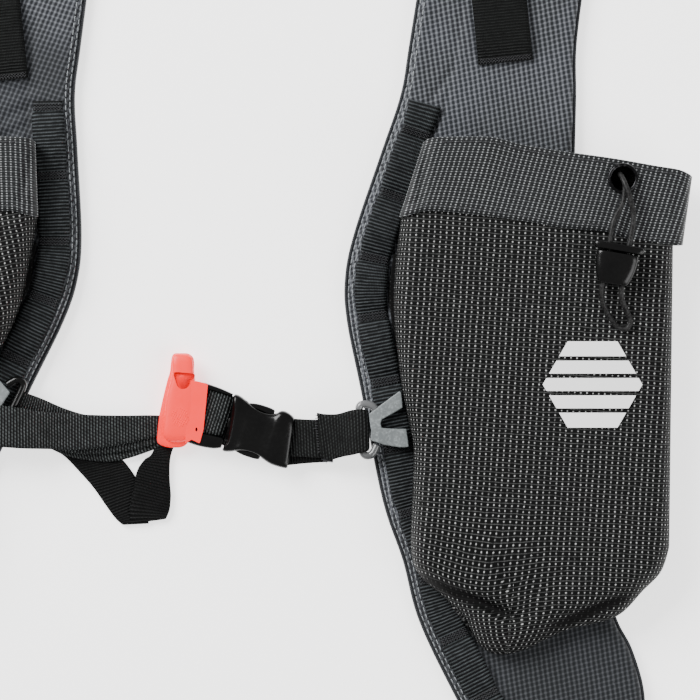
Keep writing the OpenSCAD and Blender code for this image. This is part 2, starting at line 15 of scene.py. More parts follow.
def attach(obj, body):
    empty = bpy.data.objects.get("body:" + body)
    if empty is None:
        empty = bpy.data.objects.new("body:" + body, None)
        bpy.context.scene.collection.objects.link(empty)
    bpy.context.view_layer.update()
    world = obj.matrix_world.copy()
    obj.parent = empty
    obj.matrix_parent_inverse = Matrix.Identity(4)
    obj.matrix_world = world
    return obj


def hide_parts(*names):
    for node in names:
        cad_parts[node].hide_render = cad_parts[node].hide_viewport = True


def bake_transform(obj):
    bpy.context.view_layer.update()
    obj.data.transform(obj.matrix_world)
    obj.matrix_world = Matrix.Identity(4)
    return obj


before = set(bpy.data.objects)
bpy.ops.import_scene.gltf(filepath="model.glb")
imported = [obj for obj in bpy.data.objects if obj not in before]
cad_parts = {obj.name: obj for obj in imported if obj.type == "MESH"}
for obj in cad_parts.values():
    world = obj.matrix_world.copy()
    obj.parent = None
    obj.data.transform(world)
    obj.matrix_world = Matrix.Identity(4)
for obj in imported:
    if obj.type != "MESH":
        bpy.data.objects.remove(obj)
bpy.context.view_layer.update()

MM = 0.001
ROOT = "vest"
MALE = "buckle_male_half"
LEAN = 0.144
LEAN_PIVOT = 40.6
CENTRE = np.array([-22.04, 53.56, 0.0])
RIGHT, LEFT = 1, -1
SIDES = {"right": RIGHT, "left": LEFT}

STRAP_Z = 7.0
TAPE_T = 1.2
POCKET_Z = 8.3
POCKET_TOP = 22.3
HEM_TOP = 23.0
WEB_T = 1.3
SHOULDER_Y = 205

INNER_EDGE = [(152, -176), (132, -154), (113, -127), (97, -101), (88, -79), (77, -56), (63, -15),
              (54, 11), (51, 27), (52, 44), (58, 75), (62, 96), (62.5, 115), (63, 160), (62, SHOULDER_Y)]
OUTER_EDGE = [(180, -168), (187, -150), (185, -130), (178, -113), (168, -96), (153, -50), (141, 5),
              (132, 55), (127, 94), (124, 118), (124, 160), (126, SHOULDER_Y)]
NECK_ARCH = [(62, SHOULDER_Y), (59, 226), (47, 247), (26, 259), (0, 263)]
YOKE_EDGE = [(126, SHOULDER_Y), (122, 243), (111, 281), (92, 307), (58, 319), (0, 322)]
POCKET_FOOT = [(87, -52), (90, -76), (95, -85), (104, -92), (113, -100), (121, -111), (129, -114), (138, -112),
               (152, -105), (170, -100), (179, -90), (184.6, -83), (186.4, -74)]
POCKET_ROUND = [(68, 49.3), (69.6, 19), (77.2, -13), (84.6, -35)] + POCKET_FOOT
# on the left, the sternum clip's arms press the pocket's edge in
POCKET_PRESSED = [(68, 49.3), (69.6, 19), (73.4, 4), (76.6, -1), (82.4, -4.4), (84.2, -12), (86.4, -20),
                  (87.3, -27), (87, -36)] + POCKET_FOOT
POCKET_CORNER = (171.3, 40.6)


# ---- Points, curves and meshes ----

def curve_along(q, n):
    """Points of a round curve from the second of the points q to the last but one, n from each to the next."""
    out = []
    for i in range(len(q) - 3):
        a, b, c, d = q[i:i + 4]
        for t in np.arange(n) / n:
            out.append(0.5 * (2 * b + (c - a) * t + (2 * a - 5 * b + 4 * c - d) * t * t
                              + (3 * b - a - 3 * c + d) * t ** 3))
    return out

def smooth(points, n):
    """A round curve through the points, with n steps between two of them."""
    p = np.array(points, float)
    return np.array(curve_along(np.vstack([p[:1], p, p[-1:]]), n) + [p[-1]])

def smooth_loop(points, n):
    """A round closed curve through the points."""
    p = np.array(points, float)
    return np.array(curve_along(np.vstack([p[-1:], p, p[:2]]), n))

def lay(points, side):
    """Pattern points of one side, leaned as the vest lies."""
    p = np.atleast_2d(np.array(points, float))
    return np.column_stack([side * p[:, 0] + LEAN * (p[:, 1] - LEAN_PIVOT), p[:, 1]])


def unleaned(x, y, side):
    """How far outward a place lies in the pattern, without the lean."""
    return side * (x - LEAN * (y - LEAN_PIVOT))

def on_right(x, y, side):
    """The x of the same place on the right side."""
    return unleaned(x, y, side) + LEAN * (y - LEAN_PIVOT)

def turned(points, angle, at):
    """Points turned by an angle in degrees and moved to a place, at the same heights."""
    p = np.atleast_2d(np.array(points, float))
    c, s = math.cos(math.radians(angle)), math.sin(math.radians(angle))
    return np.column_stack([at[0] + c * p[:, 0] - s * p[:, 1], at[1] + s * p[:, 0] + c * p[:, 1], p[:, 2]])

def run_along(points):
    """The distance along a line of points, at each of them."""
    return np.concatenate([[0], np.cumsum(np.linalg.norm(np.diff(points, axis=0), axis=1))])

def unit(v):
    v = np.asarray(v, float)
    return v / np.maximum(np.linalg.norm(v, axis=-1, keepdims=True), 1e-9)


class Rail:
    """A curve in the plane that gives the place and the heading at a distance along it."""

    def __init__(self, points, side=RIGHT):
        self.p = np.array(points, float)
        self.side = side
        self.s = run_along(self.p)
        self.length = self.s[-1]

    def at(self, s):
        return np.column_stack([np.interp(s, self.s, self.p[:, k]) for k in range(self.p.shape[1])])

    def heading(self, s):
        return unit(self.at(np.asarray(s) + 1.0) - self.at(np.asarray(s) - 1.0))

    def outward(self, s):
        t = self.heading(s)
        return self.side * np.column_stack([t[:, 1], -t[:, 0]])

    def beside(self, s, d):
        return self.at(s) + np.asarray(d).reshape(-1, 1) * self.outward(s)

    def distance_at(self, y):
        return np.interp(y, self.p[:, 1], self.s)


def resample(points, count):
    rail = Rail(points)
    return rail.at(np.linspace(0, 1, count) * rail.length)

def eased(count, share):
    """Steps from 0 to 1 that crowd towards both ends, by that share."""
    even = np.linspace(0, 1, count)
    return share * (0.5 - 0.5 * np.cos(math.pi * even)) + (1 - share) * even

def between(inner, outer, t):
    """Places across a strip: a row for each pair of points of its edges, a column for each share t."""
    t = t[None, :, None]
    return inner[:, None, :] * (1 - t) + outer[:, None, :] * t

def rounding(distance, rim):
    """0 at an edge and 1 from the rim's width inward, like a quarter circle."""
    return np.sqrt(np.clip(1 - (1 - np.clip(distance / rim, 0, 1)) ** 2, 0, 1))

def ripple(x, y, scale, seed=0.0):
    """Smooth noise from -1 to 1 over the cloth, the same in each run."""
    return noise.noise(Vector((x / scale, y / scale, seed)))


def ripples(x, y, scale, seed=0.0):
    flat = [ripple(a, b, scale, seed) for a, b in zip(np.ravel(x), np.ravel(y))]
    return np.array(flat).reshape(np.shape(x))


def add_object(name, data):
    obj = bpy.data.objects.new(name, data)
    bpy.context.scene.collection.objects.link(obj)
    return obj

def shade_smooth(mesh):
    mesh.polygons.foreach_set("use_smooth", [True] * len(mesh.polygons))

def new_object(name, points, faces, weave, material):
    """A mesh object from points in mm, with a weave attribute that the cloth materials read."""
    mesh = bpy.data.meshes.new(name)
    mesh.from_pydata([tuple(p) for p in (np.asarray(points) - CENTRE) * MM], [], faces)
    mesh.validate()
    attribute = mesh.attributes.new("weave", "FLOAT_VECTOR", "POINT")
    attribute.data.foreach_set("vector", np.asarray(weave, np.float32).ravel())
    shade_smooth(mesh)
    mesh.update()
    obj = add_object(name, mesh)
    mesh.materials.append(material)
    bm = bmesh.new()
    bm.from_mesh(mesh)
    bmesh.ops.recalc_face_normals(bm, faces=bm.faces)
    bm.to_mesh(mesh)
    bm.free()
    return obj


def quads(rows, cols, wrap=False):
    out = []
    for i in range(rows - 1):
        for j in range(cols if wrap else cols - 1):
            k = (j + 1) % cols
            out.append((i * cols + j, i * cols + k, (i + 1) * cols + k, (i + 1) * cols + j))
    return out


def hoop(base, n):
    """Faces from a ring of n points that starts at base to the next ring."""
    return [(base + a, base + (a + 1) % n, base + n + (a + 1) % n, base + n + a) for a in range(n)]

def end_caps(first, last, n):
    """Faces that close a tube at its first and its last ring of n points."""
    return [tuple(first + a for a in reversed(range(n))), tuple(last + a for a in range(n))]

def grid(name, points, weave, material):
    """An open sheet from a rows x cols x 3 array."""
    rows, cols = points.shape[:2]
    return new_object(name, points.reshape(-1, 3), quads(rows, cols), weave.reshape(-1, 3), material)


def tube_grid(name, points, weave, material):
    """A closed form from rings: rows x cols x 3, each row a ring, with a cap on each end."""
    rows, cols = points.shape[:2]
    faces = quads(rows, cols, wrap=True)
    faces += [tuple(range(cols)), tuple((rows - 1) * cols + j for j in reversed(range(cols)))]
    return new_object(name, points.reshape(-1, 3), faces, weave.reshape(-1, 3), material)


def modifier(obj, kind, **values):
    m = obj.modifiers.new(kind.lower(), kind)
    for key, value in values.items():
        setattr(m, key, value)
    return m


def thick(obj, t):
    """Gives a sheet a thickness, behind its face."""
    modifier(obj, "SOLIDIFY", thickness=t * MM, offset=-1.0)


def apply_modifiers(obj):
    bpy.context.view_layer.update()
    evaluated = obj.evaluated_get(bpy.context.evaluated_depsgraph_get())
    mesh = bpy.data.meshes.new_from_object(evaluated)
    obj.modifiers.clear()
    obj.data = mesh


def ribbon(name, middle, across, width, t, material, columns=7, along=None, square=True):
    """A flat strap: its middle line, the direction across it at each point, and its width, all in mm."""
    middle = np.asarray(middle, float)
    across = unit(across)
    heading = unit(np.gradient(middle, axis=0))
    normal = unit(np.cross(heading, across))
    if square:
        across = unit(np.cross(normal, heading))
    width = np.broadcast_to(width, len(middle))
    if along is None:
        along = run_along(middle)
    f = np.linspace(-0.5, 0.5, columns)
    ring, weave = [], []
    for face, spread in ((1, f), (-1, f[::-1])):
        for x in spread:
            edge = math.sqrt(max(0.0, 1 - (2 * abs(x)) ** 10))
            lift = face * t / 2 * max(edge, 0.35)
            ring.append(middle + across * (x * width)[:, None] + normal * lift)
            weave.append(np.column_stack([x * width, along, np.full(len(middle), face)]))
    return tube_grid(name, np.stack(ring, 1), np.stack(weave, 1), material)


def stand_for(obj, body, slot, *nodes):
    """Puts a piece under the empty of its body and hides the CAD nodes that it stands for, if any. The slot is
    not used.
    """
    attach(obj, body)
    if nodes:
        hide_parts(*nodes)

def superellipse(count, power):
    a = np.linspace(0, 2 * math.pi, count, endpoint=False)
    c, s = np.cos(a), np.sin(a)
    return np.column_stack([np.sign(c) * np.abs(c) ** (2 / power), np.sign(s) * np.abs(s) ** (2 / power)])


# ---- Materials ----

class Shader:
    """A material under construction: short names for the nodes that the cloths and plastics need."""

    def __init__(self, name, roughness=0.6, specular=0.5):
        self.material = bpy.data.materials.new(name)
        self.material.use_nodes = True
        self.tree = self.material.node_tree
        self.bsdf = self.tree.nodes["Principled BSDF"]
        self.bsdf.inputs["Roughness"].default_value = roughness
        self.bsdf.inputs["Specular IOR Level"].default_value = specular

    def node(self, kind, **values):
        made = self.tree.nodes.new("ShaderNode" + kind)
        for key, value in values.items():
            setattr(made, key, value)
        return made

    def join(self, source, target):
        if isinstance(source, (int, float)):
            target.default_value = source
        elif isinstance(source, tuple):
            target.default_value = source if len(source) == len(target.default_value) else (*source, 1.0)
        else:
            self.tree.links.new(source, target)

    def math(self, operation, a, b, clamp=False):
        made = self.node("Math", operation=operation, use_clamp=clamp)
        self.join(a, made.inputs[0])
        self.join(b, made.inputs[1])
        return made.outputs[0]

    def times(self, a, b):
        return self.math("MULTIPLY", a, b)

    def plus(self, a, b, clamp=False):
        return self.math("ADD", a, b, clamp)

    def ramp(self, value, low, high, to_low=0.0, to_high=1.0):
        made = self.node("MapRange", interpolation_type="SMOOTHSTEP")
        for given, target in zip((value, low, high, to_low, to_high), made.inputs):
            self.join(given, target)
        return made.outputs[0]

    def mix(self, factor, a, b):
        made = self.node("Mix", data_type="RGBA")
        self.join(factor, made.inputs[0])
        self.join(a, made.inputs[6])
        self.join(b, made.inputs[7])
        return made.outputs[2]

    def weave(self):
        read = self.node("Attribute", attribute_name="weave")
        split = self.node("SeparateXYZ")
        self.join(read.outputs["Vector"], split.inputs[0])
        return split.outputs[0], split.outputs[1], split.outputs[2], read.outputs["Vector"]

    def place(self):
        return self.node("TexCoord").outputs["Object"]

    def noise(self, vector, scale, detail=3.0):
        made = self.node("TexNoise")
        self.join(vector, made.inputs["Vector"])
        made.inputs["Scale"].default_value = scale
        made.inputs["Detail"].default_value = detail
        made.inputs["Roughness"].default_value = 0.55
        return made.outputs["Fac"]

    def line(self, coordinate, pitch, width, blur, shift=0.0):
        """1 on lines a pitch apart, 0 between them."""
        moved = self.plus(coordinate, shift + 1000 * pitch)
        distance = self.math("PINGPONG", moved, pitch / 2)
        return self.ramp(distance, width / 2 + blur, width / 2 - blur)

    def finish(self, colour, height, roughness=None, strength=0.5, distance=0.0003, sheen=0.0):
        """Joins the colour, the gloss and the relief, and gives the finished material."""
        self.join(colour, self.bsdf.inputs["Base Color"])
        if roughness is not None:
            self.join(roughness, self.bsdf.inputs["Roughness"])
        bump = self.node("Bump")
        bump.inputs["Strength"].default_value = strength
        bump.inputs["Distance"].default_value = distance
        self.join(height, bump.inputs["Height"])
        self.join(bump.outputs[0], self.bsdf.inputs["Normal"])
        self.bsdf.inputs["Sheen Weight"].default_value = sheen
        self.bsdf.inputs["Sheen Roughness"].default_value = 0.5
        return self.material

def wobbled(s, coordinate, vector, scale, amount):
    """A thread coordinate that wanders a little, as woven threads do."""
    return s.plus(coordinate, s.times(s.math("SUBTRACT", s.noise(vector, scale, 2.0), 0.5), amount))


def grid_cloth(name="grid_cloth", depth=0.0):
    """Dark blue-grey gridstop: broad light warp bands, weaker weft bands and small dark cells."""
    s = Shader(name, roughness=0.7, specular=0.2)
    across, along, _, vector = s.weave()
    across = wobbled(s, across, vector, 0.35, 0.5)
    along = wobbled(s, along, vector, 0.3, 0.5)
    warp = s.line(across, 1.8, 0.75, 0.28)
    weft = s.line(along, 1.8, 0.6, 0.25)
    knots = s.times(warp, weft)
    patchy = s.noise(vector, 0.9, 3.0)
    broad = s.noise(vector, 0.035, 2.0)
    light = s.plus(s.times(warp, 0.8), s.times(weft, 0.42), clamp=True)
    light = s.times(light, s.ramp(patchy, 0.15, 0.75, 0.55, 1.1))
    ground = s.mix(s.ramp(broad, 0.35, 0.65), (0.006, 0.0072, 0.009), (0.0085, 0.0102, 0.0132))
    thread = s.mix(s.ramp(broad, 0.35, 0.65), (0.086, 0.092, 0.101), (0.104, 0.11, 0.125))
    colour = s.mix(light, ground, thread)
    colour = s.mix(s.times(knots, 0.35), colour, (0.22, 0.23, 0.25))
    # Darker towards the strap's foot; with depth above 0, also painted shade near the keepers.
    down = s.times(along, -1.0)
    dark_foot_and_painted_shade = s.math("MAXIMUM", s.ramp(down, 62.0, 112.0, 0.0, 0.62), s.ramp(down, -104.0, -86.0, 0.0, depth))
    colour = s.mix(dark_foot_and_painted_shade, colour, (0.004, 0.005, 0.006))
    return s.finish(colour, s.plus(light, s.times(knots, 0.4)), strength=0.45, sheen=0.08)


def hem_cloth():
    """The hem's cloth: rows of pale dots on charcoal, each second row joined by a thin thread."""
    s = Shader("hem_cloth", roughness=0.7, specular=0.18)
    across, along, _, vector = s.weave()
    across = wobbled(s, across, vector, 0.35, 0.45)
    along = wobbled(s, along, vector, 0.3, 0.35)
    column = s.line(across, 1.84, 0.5, 0.2)
    fine_rows = s.line(along, 0.965, 0.3, 0.16)
    strong_rows = s.line(along, 1.93, 0.34, 0.16)
    patchy = s.ramp(s.noise(vector, 0.7, 3.0), 0.2, 0.7, 0.45, 1.15)
    dots = s.times(s.times(column, fine_rows), patchy)
    threads = s.times(strong_rows, 0.30)
    uprights = s.times(column, 0.16)
    broad = s.ramp(s.noise(vector, 0.05, 2.0), 0.3, 0.7)
    ground = s.mix(broad, (0.0042, 0.0046, 0.0052), (0.006, 0.0066, 0.0074))
    colour = s.mix(s.plus(threads, uprights, clamp=True), ground, (0.085, 0.091, 0.095))
    colour = s.mix(dots, colour, (0.36, 0.375, 0.38))
    return s.finish(colour, s.plus(dots, threads), strength=0.35, sheen=0.06)


def mesh_cloth():
    """The pocket's cloth: black, with thin wavy weft threads and a pale dot in each cell, and painted shade in
    its folds.
    """
    s = Shader("mesh_cloth", roughness=0.75, specular=0.12)
    across, along, fold, vector = s.weave()
    across = wobbled(s, across, vector, 0.22, 0.9)
    along = wobbled(s, along, vector, 0.16, 0.9)
    weft = s.line(along, 1.8, 0.2, 0.16)
    dot_row = s.line(along, 1.8, 0.42, 0.2, 0.9)
    column = s.line(across, 2.24, 0.42, 0.2)
    fine = s.line(across, 0.56, 0.16, 0.12)
    patchy = s.ramp(s.noise(vector, 0.6, 3.0), 0.25, 0.65, 0.15, 1.2)
    dots = s.times(s.times(column, dot_row), patchy)
    threads = s.times(weft, s.ramp(s.noise(vector, 0.5, 2.0), 0.25, 0.7, 0.12, 0.55))
    uprights = s.times(s.times(column, 0.13), patchy)
    beads = s.times(s.times(weft, fine), 0.25)
    faint = s.plus(s.plus(threads, uprights), beads, clamp=True)
    colour = s.mix(faint, (0.0007, 0.0008, 0.0008), (0.135, 0.138, 0.136))
    colour = s.mix(dots, colour, (0.52, 0.525, 0.52))
    # Painted shade: near-black in the folds, by the fold depth that the weave carries.
    colour = s.mix(s.ramp(fold, 0.6, 3.4, 0.0, 0.93), colour, (0.0008, 0.0008, 0.0008))
    return s.finish(colour, s.plus(dots, threads), strength=0.35)


def ribbed_tape(name, pitch, ridge, ground=(0.001, 0.001, 0.001), dash=0.0):
    """Webbing with ribs across its length. With a dash, each rib is broken into slanting stitches."""
    s = Shader(name, roughness=0.6, specular=0.1)
    across, along, _, vector = s.weave()
    bent = wobbled(s, along, vector, 0.25, 0.35)
    rib = s.line(bent, pitch, pitch * 0.30, pitch * 0.24)
    patchy = s.ramp(s.noise(vector, 0.5, 3.0), 0.2, 0.75, 0.4, 1.15)
    light = s.times(rib, patchy)
    strand = s.line(across, 0.62, 0.36, 0.12)
    if dash:
        slanting = s.plus(across, s.times(along, 0.62))
        broken = s.line(slanting, dash, dash * 0.55, dash * 0.2)
        light = s.times(light, s.ramp(broken, 0.0, 1.0, 0.35, 1.15))
    light = s.times(light, s.ramp(strand, 0.0, 1.0, 0.75, 1.0))
    fuzz = s.ramp(s.noise(vector, 3.0, 2.0), 0.5, 0.9, 0.0, 0.10)
    colour = s.mix(s.plus(light, fuzz, clamp=True), ground, ridge)
    return s.finish(colour, s.plus(rib, s.times(strand, 0.25)), strength=0.8,
                    distance=0.0004)


def liner_mesh():
    """Spacer mesh of the lining: small holes in offset rows."""
    s = Shader("liner_mesh", roughness=0.8, specular=0.2)
    across, along, _, vector = s.weave()
    rows = [s.times(s.line(across, 2.6, 0.9, 0.3, shift), s.line(along, 2.6, 0.9, 0.3, shift))
            for shift in (0.0, 1.3)]
    holes = s.math("MAXIMUM", *rows)
    colour = s.mix(holes, (0.036, 0.037, 0.041), (0.006, 0.006, 0.007))
    colour = s.mix(s.ramp(s.noise(vector, 0.6), 0.3, 0.7, 0.0, 0.5), colour, (0.05, 0.052, 0.056))
    return s.finish(colour, s.math("SUBTRACT", 1.0, holes), strength=0.8, distance=0.0006, sheen=0.1)


def binding_tape():
    s = Shader("binding_tape", roughness=0.7, specular=0.3)
    _, along, _, vector = s.weave()
    rib = s.line(along, 0.7, 0.25, 0.15)
    patchy = s.noise(vector, 0.4, 3.0)
    colour = s.mix(s.times(rib, patchy), (0.006, 0.007, 0.009), (0.04, 0.045, 0.052))
    return s.finish(colour, rib, strength=0.5, sheen=0.1)


def thread(name, colour, dark):
    s = Shader(name, roughness=0.6, specular=0.35)
    across, along, _, _ = s.weave()
    twist = s.line(s.plus(along, across), 0.6, 0.3, 0.14)
    return s.finish(s.mix(twist, dark, colour), twist, strength=0.6, distance=0.0002)


def foam():
    s = Shader("foam_core", roughness=0.9, specular=0.2)
    cells = s.noise(s.place(), 900, 4.0)
    return s.finish(s.mix(cells, (0.10, 0.10, 0.11), (0.22, 0.22, 0.23)), cells, strength=0.7)


def moulded(name, low, high, roughness, grain, strength=0.12, scale=900, specular=0.5):
    """Moulded plastic: a fine grain and a slow change of colour and gloss."""
    s = Shader(name, roughness=roughness, specular=specular)
    place = s.place()
    fine = s.noise(place, scale, 3.0)
    slow = s.noise(place, 60, 2.0)
    colour = s.mix(s.ramp(slow, 0.3, 0.7), low, high)
    bright = tuple(min(1.0, 1.8 * c + 0.004) for c in high)
    colour = s.mix(s.ramp(fine, 0.45, 0.75, 0.0, grain), colour, bright)
    rough = s.ramp(fine, 0.2, 0.8, roughness * 0.85, min(1.0, roughness * 1.25))
    return s.finish(colour, fine, rough, strength=strength, distance=0.0001)


def shock_cord():
    """Braided elastic: crossing diagonals from the cord's own length and angle."""
    s = Shader("shock_cord", roughness=0.5, specular=0.2)
    place = s.place()
    wave = s.noise(place, 1500, 2.0)
    colour = s.mix(s.ramp(wave, 0.35, 0.7), (0.002, 0.002, 0.002), (0.022, 0.022, 0.022))
    return s.finish(colour, wave, strength=0.6, distance=0.00015)


def eyelet_metal():
    s = Shader("eyelet_metal", roughness=0.22, specular=0.6)
    s.bsdf.inputs["Metallic"].default_value = 0.85
    wear = s.noise(s.place(), 700, 3.0)
    colour = s.mix(s.ramp(wear, 0.5, 0.8), (0.008, 0.008, 0.009), (0.05, 0.05, 0.052))
    return s.finish(colour, wear, s.ramp(wear, 0.3, 0.8, 0.16, 0.4), strength=0.08, distance=0.0001)


def reflective_print():
    s = Shader("reflective_print", roughness=0.5, specular=0.5)
    _, along, _, vector = s.weave()
    cracks = s.noise(vector, 0.9, 4.0)
    weave = s.times(s.line(along, 1.8, 0.3, 0.25), 0.05)
    colour = s.mix(s.ramp(cracks, 0.6, 0.85, 0.0, 0.25), (0.93, 0.93, 0.93), (0.72, 0.73, 0.74))
    colour = s.mix(weave, colour, (0.6, 0.6, 0.6))
    return s.finish(colour, cracks, strength=0.15, distance=0.0001)


def glowing(material, colour, strength):
    """The material with a little light of its own."""
    inputs = material.node_tree.nodes["Principled BSDF"].inputs
    inputs["Emission Color"].default_value = (*colour, 1)
    inputs["Emission Strength"].default_value = strength
    return material

def paper_floor():
    s = Shader("pale_floor", roughness=0.9, specular=0.15)
    grain = s.noise(s.place(), 260, 4.0)
    paper = s.finish(s.mix(grain, (0.93, 0.925, 0.92), (0.96, 0.955, 0.95)), grain, strength=0.02)
    return glowing(paper, (1, 1, 1), 1.6)

CLOTH = grid_cloth()
# The left strap's cloth: a copy with painted shade near the keepers, where that strap lies in shade.
SHADED_CLOTH = grid_cloth("shaded_grid_cloth", 0.52)
HEM = hem_cloth()
MESH = mesh_cloth()
TAPE = ribbed_tape("daisy_tape", 1.3, (0.075, 0.085, 0.090), ground=(0.0012, 0.0014, 0.0015))
WEB = ribbed_tape("sternum_web", 1.12, (0.112, 0.124, 0.124), dash=1.4)
# A darker copy of the same webbing: painted shade on the right-hand web.
SHADED_WEB = ribbed_tape("shaded_sternum_web", 1.12, (0.040, 0.044, 0.043), dash=1.4)
# A still darker copy of the same webbing: painted shade on the layers that lie under others.
DEEP_SHADE_WEB = ribbed_tape("deep_shade_web", 1.12, (0.010, 0.011, 0.011), dash=1.4)
KEEPER = ribbed_tape("keeper_web", 1.1, (0.017, 0.019, 0.018), ground=(0.001, 0.0011, 0.0011))
LINER = liner_mesh()
BINDING = binding_tape()
THREAD = thread("black_thread", (0.05, 0.05, 0.055), (0.008, 0.008, 0.009))
PALE_THREAD = thread("grey_thread", (0.34, 0.36, 0.38), (0.09, 0.10, 0.105))
FOAM = foam()
BLACK = moulded("black_acetal", (0.0010, 0.0010, 0.0011), (0.0022, 0.0022, 0.0022), 0.2, 0.08, specular=0.27)
GREY = moulded("grey_acetal", (0.11, 0.122, 0.125), (0.15, 0.165, 0.168), 0.5, 0.6, strength=0.35, scale=1100)
CLEAR_GREY = moulded("smoke_acetal", (0.07, 0.072, 0.074), (0.12, 0.122, 0.125), 0.18, 0.2, specular=0.6)
# The whistle glows a little: painted light that brightens its red.
RED = glowing(moulded("whistle_red", (0.98, 0.018, 0.016), (1.0, 0.026, 0.022), 0.38, 0.08, specular=0.35),
              (1, 0.01, 0.01), 0.25)
# A deeper red for the whistle's recess: painted shade in the recess.
SHADED_RED = moulded("whistle_shade", (0.80, 0.004, 0.005), (0.88, 0.006, 0.008), 0.45, 0.05, specular=0.2)
CORD = shock_cord()
METAL = eyelet_metal()
PRINT = reflective_print()


# ---- Camera, floor and lights ----

def set_stage():
    """The camera straight above, a pale floor, two lamps and an even sky."""
    view_x, view_w, height = 50.25, 262.5, 1.3
    camera = bpy.data.cameras.new("camera")
    camera.sensor_width = 36
    camera.lens = 36 * (height - 0.008) / (view_w * MM)
    camera_object = add_object("camera", camera)
    camera_object.location = ((view_x - CENTRE[0]) * MM, -CENTRE[1] * MM, height)
    bpy.context.scene.camera = camera_object
    bpy.ops.mesh.primitive_plane_add(size=6, location=(0, 0, -0.0002))
    floor = bpy.context.object
    floor.name = "floor"
    floor.data.materials.append(paper_floor())
    for name, place, power in (("key", (-0.95, 0.85, 1.05), 66), ("fill", (1.1, -0.6, 0.9), 17)):
        light = bpy.data.lights.new(name, "AREA")
        light.size = 1.0
        light.energy = power
        lamp = add_object(name, light)
        lamp.location = place
        lamp.rotation_euler = (-Vector(place)).to_track_quat("-Z", "Y").to_euler()
    world = bpy.data.worlds.new("studio")
    world.use_nodes = True
    sky, strength = world.node_tree.nodes["Background"].inputs[:2]
    sky.default_value = (1, 0.99, 0.98, 1)
    strength.default_value = 0.42
    bpy.context.scene.world = world

# ---- Drawcords ----

LOCK_AT = (149.8, 31.5)
LOCK_TURN = {RIGHT: 80, LEFT: 84}
CORD_GAP = 3.6
CORD_D = 2.0
LOCK_Z = POCKET_TOP + 1.0
CORD_Z = LOCK_Z + 3.5
# [towards the eyelet, across, height] from the lock's middle
CORD_ROUTE = [
    (33.6, 4.0, HEM_TOP - 3.4), (33.5, 3.9, HEM_TOP - 0.8), (32.6, 3.3, HEM_TOP + 1.8),
    (30.2, 1.9, HEM_TOP + 3.7), (27.5, 0.3, HEM_TOP + 4.1), (24.5, -1.2, CORD_Z + 0.4),
    (20, -3.0, CORD_Z), (16.5, -CORD_GAP, CORD_Z), (8, -CORD_GAP, CORD_Z), (-1, -CORD_GAP, CORD_Z),
    (-9, -CORD_GAP, CORD_Z), (-12.5, -4.6, CORD_Z - 0.8), (-16, -7.0, CORD_Z - 2.2),
    (-19.5, -9.2, CORD_Z - 2.8), (-22.6, -8.2, CORD_Z - 2.8), (-22.2, -4.6, CORD_Z - 2.6),
    (-18.5, -0.6, CORD_Z - 2.3), (-13.4, 2.8, CORD_Z - 1.0), (-9, CORD_GAP, CORD_Z),
    (-1, CORD_GAP, CORD_Z), (8, CORD_GAP, CORD_Z), (15, CORD_GAP, CORD_Z - 0.1),
    (19, 2.6, CORD_Z - 0.8), (22.8, 1.3, CORD_Z - 1.5), (27, 1.3, HEM_TOP + 1.9),
    (29.0, 1.5, HEM_TOP + 1.8), (30.7, 1.7, HEM_TOP - 0.6), (30.9, 1.8, HEM_TOP - 3.4)]


def from_lock(points, side):
    """Points of the lock's frame in the pattern's frame."""
    return turned(np.atleast_2d(points) * (1, side, 1), LOCK_TURN[side], lay([LOCK_AT], side)[0])

def drawcord(label, side):
    route = (from_lock(smooth(CORD_ROUTE, 3), side) - CENTRE) * MM
    curve = bpy.data.curves.new("drawcord_cord_" + label, "CURVE")
    curve.dimensions = "3D"
    curve.bevel_depth = CORD_D / 2 * MM
    curve.bevel_resolution = 4
    spline = curve.splines.new("POLY")
    spline.points.add(len(route) - 1)
    for point, place in zip(spline.points, route):
        point.co = (*place, 1.0)
    curve.materials.append(CORD)
    obj = add_object("drawcord_cord_" + label, curve)
    stand_for(obj, ROOT, "shock_cord", "drawcord_" + label)
    round(float(run_along(route)[-1]), 4)

# ---- Padded straps and yoke ----

RIM_Z = 2.6
BINDING_W, BINDING_H = 0.75, 1.9  # half the binding's width and height

def pad_profile(distance, width):
    """Height of the face cloth at a distance from the inner cut edge of a pad of that width."""
    return RIM_Z + (STRAP_Z - RIM_Z) * rounding(np.minimum(distance, width - distance), 3.4)

def pad_parts(label, inner, outer, mark, nodes, stitched=(), creases=(), cloth=CLOTH):
    """Face cloth, lining and foam between two curves with the same number of points."""
    t = eased(61, 0.35)
    plan = between(inner, outer, t)
    width = np.linalg.norm(outer - inner, axis=1)[:, None]
    distance = t[None, :] * width
    to_edge = np.minimum(distance, width - distance)
    x, y = plan[..., 0], plan[..., 1]
    soft = np.clip(to_edge / 10, 0, 1)
    top = pad_profile(distance, width)
    top = top + soft * (0.35 * ripples(x, y, 22, 1.0) + 0.22 * ripples(x, y, 8, 4.0) - 0.25)
    for offset, depth in stitched:
        top = top - depth * np.exp(-((distance - offset) / 0.9) ** 2)
    top = top - folded(x, y, creases) * soft
    weave = np.dstack([*mark(x, y), distance])
    face = grid("face_cloth_" + label, np.dstack([x, y, top]), weave, cloth)
    thick(face, 0.8)
    lining = grid("lining_" + label, np.dstack([x, y, 2.42 - 2.4 * rounding(to_edge, 3.0)]), weave, LINER)
    thick(lining, 0.7)
    core_t = np.concatenate([t[3:-3], t[3:-3][::-1]])
    core = between(inner, outer, core_t)
    pressed = np.maximum(0, folded(core[..., 0], core[..., 1], creases))
    high = pad_profile(core_t[None, :] * width, width) - 1.5 - pressed
    upper = np.arange(len(core_t)) < len(core_t) // 2
    core = np.dstack([core, np.where(upper[None, :], high, 1.1)])
    foam_core = tube_grid("foam_core_" + label, core, core, FOAM)
    for piece, slot, node in zip((face, lining, foam_core), ("grid_cloth", "liner_mesh", "foam"), nodes):
        stand_for(piece, ROOT, slot, node)

